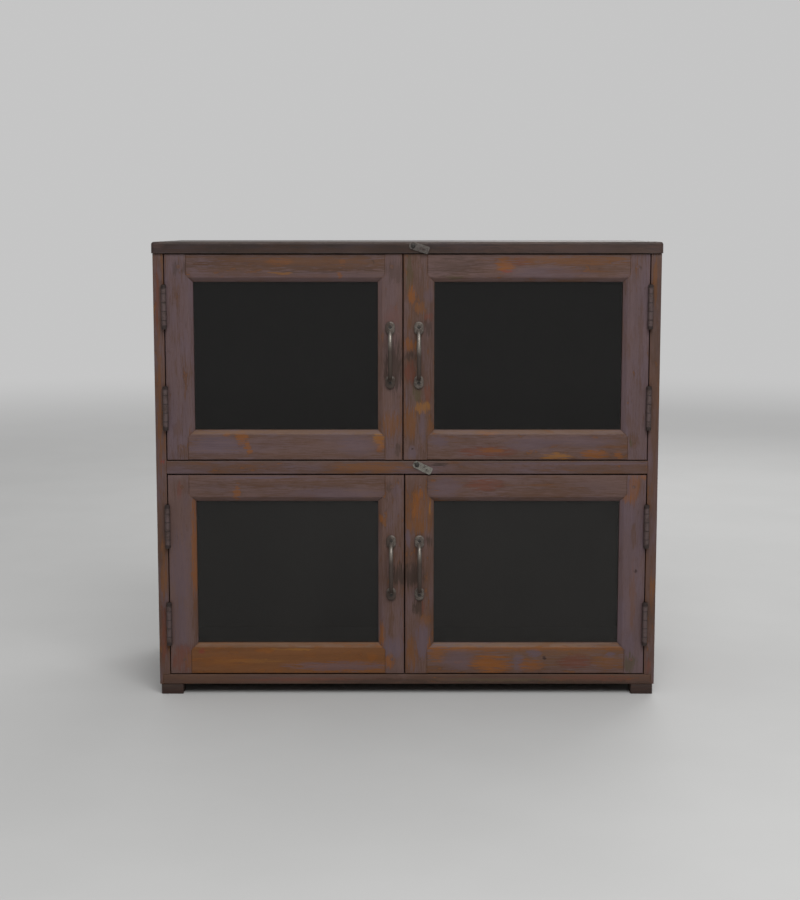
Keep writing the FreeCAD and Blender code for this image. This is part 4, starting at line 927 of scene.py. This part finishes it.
zincLook = dict(
    cloudScale=130, rustStart=0.48, metal=(0.3, 0.285, 0.25, 1), dull=(0.1, 0.094, 0.08, 1),
    rust=tone("crevice"), shadeAndDirt=(0.02, 0.02, 0.018, 1), bright=(0.62, 0.6, 0.54, 1),
    edge=0.9, metallic=0.5, roughness=(0.42, 0.65), bump=0.3, heldRough=0.0,
)
stainedZincLook = dict(zincLook, metal=(0.15, 0.132, 0.12, 1), dull=(0.055, 0.047, 0.042, 1),
                   rust=tone("seam"), bright=(0.45, 0.42, 0.38, 1), edge=0.75)
screwLook = dict(ironLook, metal=(0.06, 0.055, 0.05, 1), dull=(0.03, 0.027, 0.024, 1), patinaAndShadeSpots=[],
                 bright=(0.16, 0.15, 0.14, 1), metallic=0.5, roughness=(0.42, 0.65), nearWood=0.0)
ironMetal = agedMetal("aged_iron", ironLook)
screwMetal = agedMetal("screw_iron", screwLook)
hingeMetal = agedMetal("hinge_iron", hingeLook)
buttonMetals = {"top_turn_button": agedMetal("stained_zinc", stainedZincLook),
                "middle_turn_button": agedMetal("zinc_steel", zincLook)}

for node in ("left_case_leaves", "right_case_leaves", *(door + "_hinge_leaves" for door in doors)):
    finishPiece(wornCopy(node, "leaf", sink=0, shortest=0, segments=1), node, hingeMetal)
for node, metal in buttonMetals.items():
    finishPiece(wornCopy(node, "button", sink=0, shortest=wornEdge["shortestOnButton"]), node, metal)
print("hinges and buttons eased")


handleSizes = dict(
    padThick=3.4 * mm, padCurve=1.7 * mm, padDome=1.0 * mm, recess=4.1 * mm, recessDeep=1.2 * mm,
    padRounding=0.5 * mm, padDrawnOut=6.5 * mm, padSides=48, rootBelowPad=9.6 * mm,
    rootRadius=4.4 * mm, neckRadius=3.3 * mm, middleRadius=3.9 * mm, rootSunkShare=0.7,
    bowSteps=24, bowFullness=0.5, flareShare=0.3, swell=1.5, smoothAngle=40,
)


def handlePad(centre, radius, inward, s):
    deselectAll()
    bpy.ops.mesh.primitive_cylinder_add(vertices=s["padSides"], radius=radius, depth=s["padThick"],
                                        location=centre, rotation=(math.radians(90), 0, 0))
    pad = bpy.context.object
    pickNone(pad, "FACE")
    for face in pad.data.polygons:
        face.select = face.normal.z > 0.9  # the cap that ends up towards the viewer
    inMode("EDIT")
    bpy.ops.mesh.inset(thickness=s["padCurve"])
    bpy.ops.transform.translate(value=(0, -s["padDome"], 0))
    bpy.ops.mesh.inset(thickness=radius - s["padCurve"] - s["recess"])
    bpy.ops.mesh.inset(thickness=s["padRounding"])
    bpy.ops.transform.translate(value=(0, s["recessDeep"], 0))
    inMode("OBJECT")
    settle()
    for point in pad.data.vertices:
        off = (point.co.x - centre[0], point.co.z - centre[2])
        point.select = math.hypot(*off) > s["recess"] + 1 * mm and off[1] * inward > 0.1 * mm
    inMode("EDIT")
    bpy.ops.mesh.select_mode(type="VERT")
    bpy.ops.transform.translate(value=(0, 0, s["padDrawnOut"] * inward))  # the oval foot under the bow's end
    inMode("OBJECT")
    rounding = pad.modifiers.new("rounding", "BEVEL")
    rounding.width = s["padRounding"]
    rounding.segments = 3
    rounding.limit_method = "ANGLE"
    applyModifiers(pad)
    return pad


def bowStops(low, high, padRadius, s):
    # the bow's middle line from foot to foot, with its radius at each stop
    middle = (low + high) / 2
    feetY = high.y - s["padThick"] * s["rootSunkShare"]
    frontY = low.y + s["middleRadius"]
    halfSpan = (high.z - low.z) / 2 - padRadius - s["rootBelowPad"]
    for step in range(s["bowSteps"] + 1):
        angle = math.pi * step / s["bowSteps"]
        full = math.sin(angle)
        lift = full ** s["bowFullness"] if 0 < step < s["bowSteps"] else 0
        flare = max(0.0, 1 - full / s["flareShare"])
        radius = s["neckRadius"] + (s["middleRadius"] - s["neckRadius"]) * full ** s["swell"]
        yield (Vector((middle.x, feetY + (frontY - feetY) * lift, middle.z - halfSpan * math.cos(angle))),
               radius + (s["rootRadius"] - s["neckRadius"]) * flare)


def bowHandle(node, s):
    low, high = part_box(node)
    padRadius = (high.x - low.x) / 2
    padY = high.y - s["padThick"] / 2
    parts = [handlePad(((low.x + high.x) / 2, padY, z), padRadius, inward, s)
             for z, inward in ((low.z + padRadius, 1), (high.z - padRadius, -1))]
    curve = bpy.data.curves.new("bow", "CURVE")
    curve.dimensions = "3D"
    spline = curve.splines.new("NURBS")
    spline.points.add(s["bowSteps"])
    for point, (spot, radius) in zip(spline.points, bowStops(low, high, padRadius, s)):
        point.co = (*spot, 1)
        point.radius = radius
    spline.order_u = 3
    spline.use_endpoint_u = True
    curve.bevel_depth = 1.0  # the stops' radii are the real ones
    curve.bevel_resolution = 6
    curve.resolution_u = 3
    curve.use_fill_caps = True
    workOn(newObject("bow", curve))
    bpy.ops.object.convert(target="MESH")
    parts.append(bpy.context.object)
    workOn(parts[0])
    for part in parts[1:]:
        part.select_set(True)
    bpy.ops.object.join()
    handle = bpy.context.object
    handle.name = node + "_bow"
    return handle


for door in doors:
    node = door + "_handle"
    finishPiece(bowHandle(node, handleSizes), node, ironMetal, handleSizes["smoothAngle"])
print("handles made")

plainMaterials = dict(
    pegs=paintedWood("peg_paint", dict(grain="z", seed=51)),
    glass=windowGlass("window_glass"), screws=screwMetal, pins=hingeMetal, nails=ironMetal,
)
for name, cadNode in nodes.items():
    if not cadNode.hide_render:
        cadNode.data.materials.clear()
        cadNode.data.materials.append(plainMaterials[name.split("_")[-1]])
print("carried-over nodes finished")


# studio

studio = dict(
    background=0.56, skyHorizon=0.04, skyTop=0.7, floorRadius=14, fadeFrom=2.5, fadeTo=7,
    floorTone=(0.5, 0.5, 0.495, 1), floorPaler=(0.515, 0.515, 0.51, 1),
    floorShader={"Roughness": 0.65, "Specular IOR Level": 0.2},
    keyPower=100, keyPlace=(0.55, -2.9, 3.2), keySize=2.4, fillPower=45,
    fillPlace=(1.2, 2.8, 2.6), fillSize=2.4, aim=(0, 0, 0.42),
)


def backgroundShare(net):
    path = net.put("LightPath").outputs
    return net.maths("ADD", net.plus(path["Is Camera Ray"], path["Is Glossy Ray"]),
                     path["Is Transmission Ray"], clamp=True)


def makeWorld():
    world = bpy.data.worlds.new("studio")
    world.use_nodes = True
    world.node_tree.nodes.clear()
    net = Net(world.node_tree)
    level = studio["background"]
    upward = net.part(net.put("TexCoord").outputs["Generated"], "Z")
    sky = net.grey(net.ramp(upward, 0.0, 0.9, studio["skyHorizon"], studio["skyTop"]))
    seen = net.blend(backgroundShare(net), sky, (level, level, level, 1))
    light = net.put("Background", {"Color": seen, "Strength": 1.0})
    net.put("OutputWorld", {"Surface": light.outputs["Background"]})
    bpy.context.scene.world = world


def makeFloor():
    deselectAll()
    bpy.ops.mesh.primitive_circle_add(vertices=96, radius=studio["floorRadius"], fill_type="NGON",
                                      location=(0, 0, 0))
    floor = bpy.context.object
    floor.name = "studio_floor"
    material, net, shader, place = newMaterial("studio_floor", studio["floorShader"])
    cloud = net.shown(place, "floor")
    net.feed(shader, "Base Color", net.blend(cloud, studio["floorTone"], studio["floorPaler"]))
    share = net.times(net.ramp(net.size(place), studio["fadeFrom"], studio["fadeTo"]),
                      backgroundShare(net))
    level = studio["background"]
    distant = net.put("Emission", {"Color": (level, level, level, 1), "Strength": 1.0})
    mixed = net.put("MixShader", {0: share, 1: shader.outputs["BSDF"], 2: distant.outputs["Emission"]})
    output = next(node for node in material.node_tree.nodes if node.type == "OUTPUT_MATERIAL")
    net.feed(output, "Surface", mixed.outputs["Shader"])
    floor.data.materials.append(material)


def softbox(name):
    light = bpy.data.lights.new(name, "AREA")
    light.shape = "SQUARE"
    light.size = studio[name + "Size"]
    light.energy = studio[name + "Power"]
    lamp = newObject(name, light)
    lamp.location = studio[name + "Place"]
    lamp.rotation_euler = (Vector(studio["aim"]) - lamp.location).to_track_quat("-Z", "Y").to_euler()


cameraView = dict(place=(-0.0128, -3.2246, 0.8476), pitchDown=7.4, focalPixels=1705, frameHigh=900,
                  sensor=36)


def makeCamera():
    lens = bpy.data.cameras.new("camera")
    lens.sensor_width = cameraView["sensor"]
    lens.lens = cameraView["focalPixels"] * cameraView["sensor"] / cameraView["frameHigh"]
    camera = newObject("camera", lens)
    camera.location = cameraView["place"]
    camera.rotation_euler = (math.radians(90 - cameraView["pitchDown"]), 0, 0)
    bpy.context.scene.camera = camera


makeWorld()
makeFloor()
softbox("key")
softbox("fill")
makeCamera()
bpy.context.scene.view_settings.view_transform = "Standard"
print("studio ready")
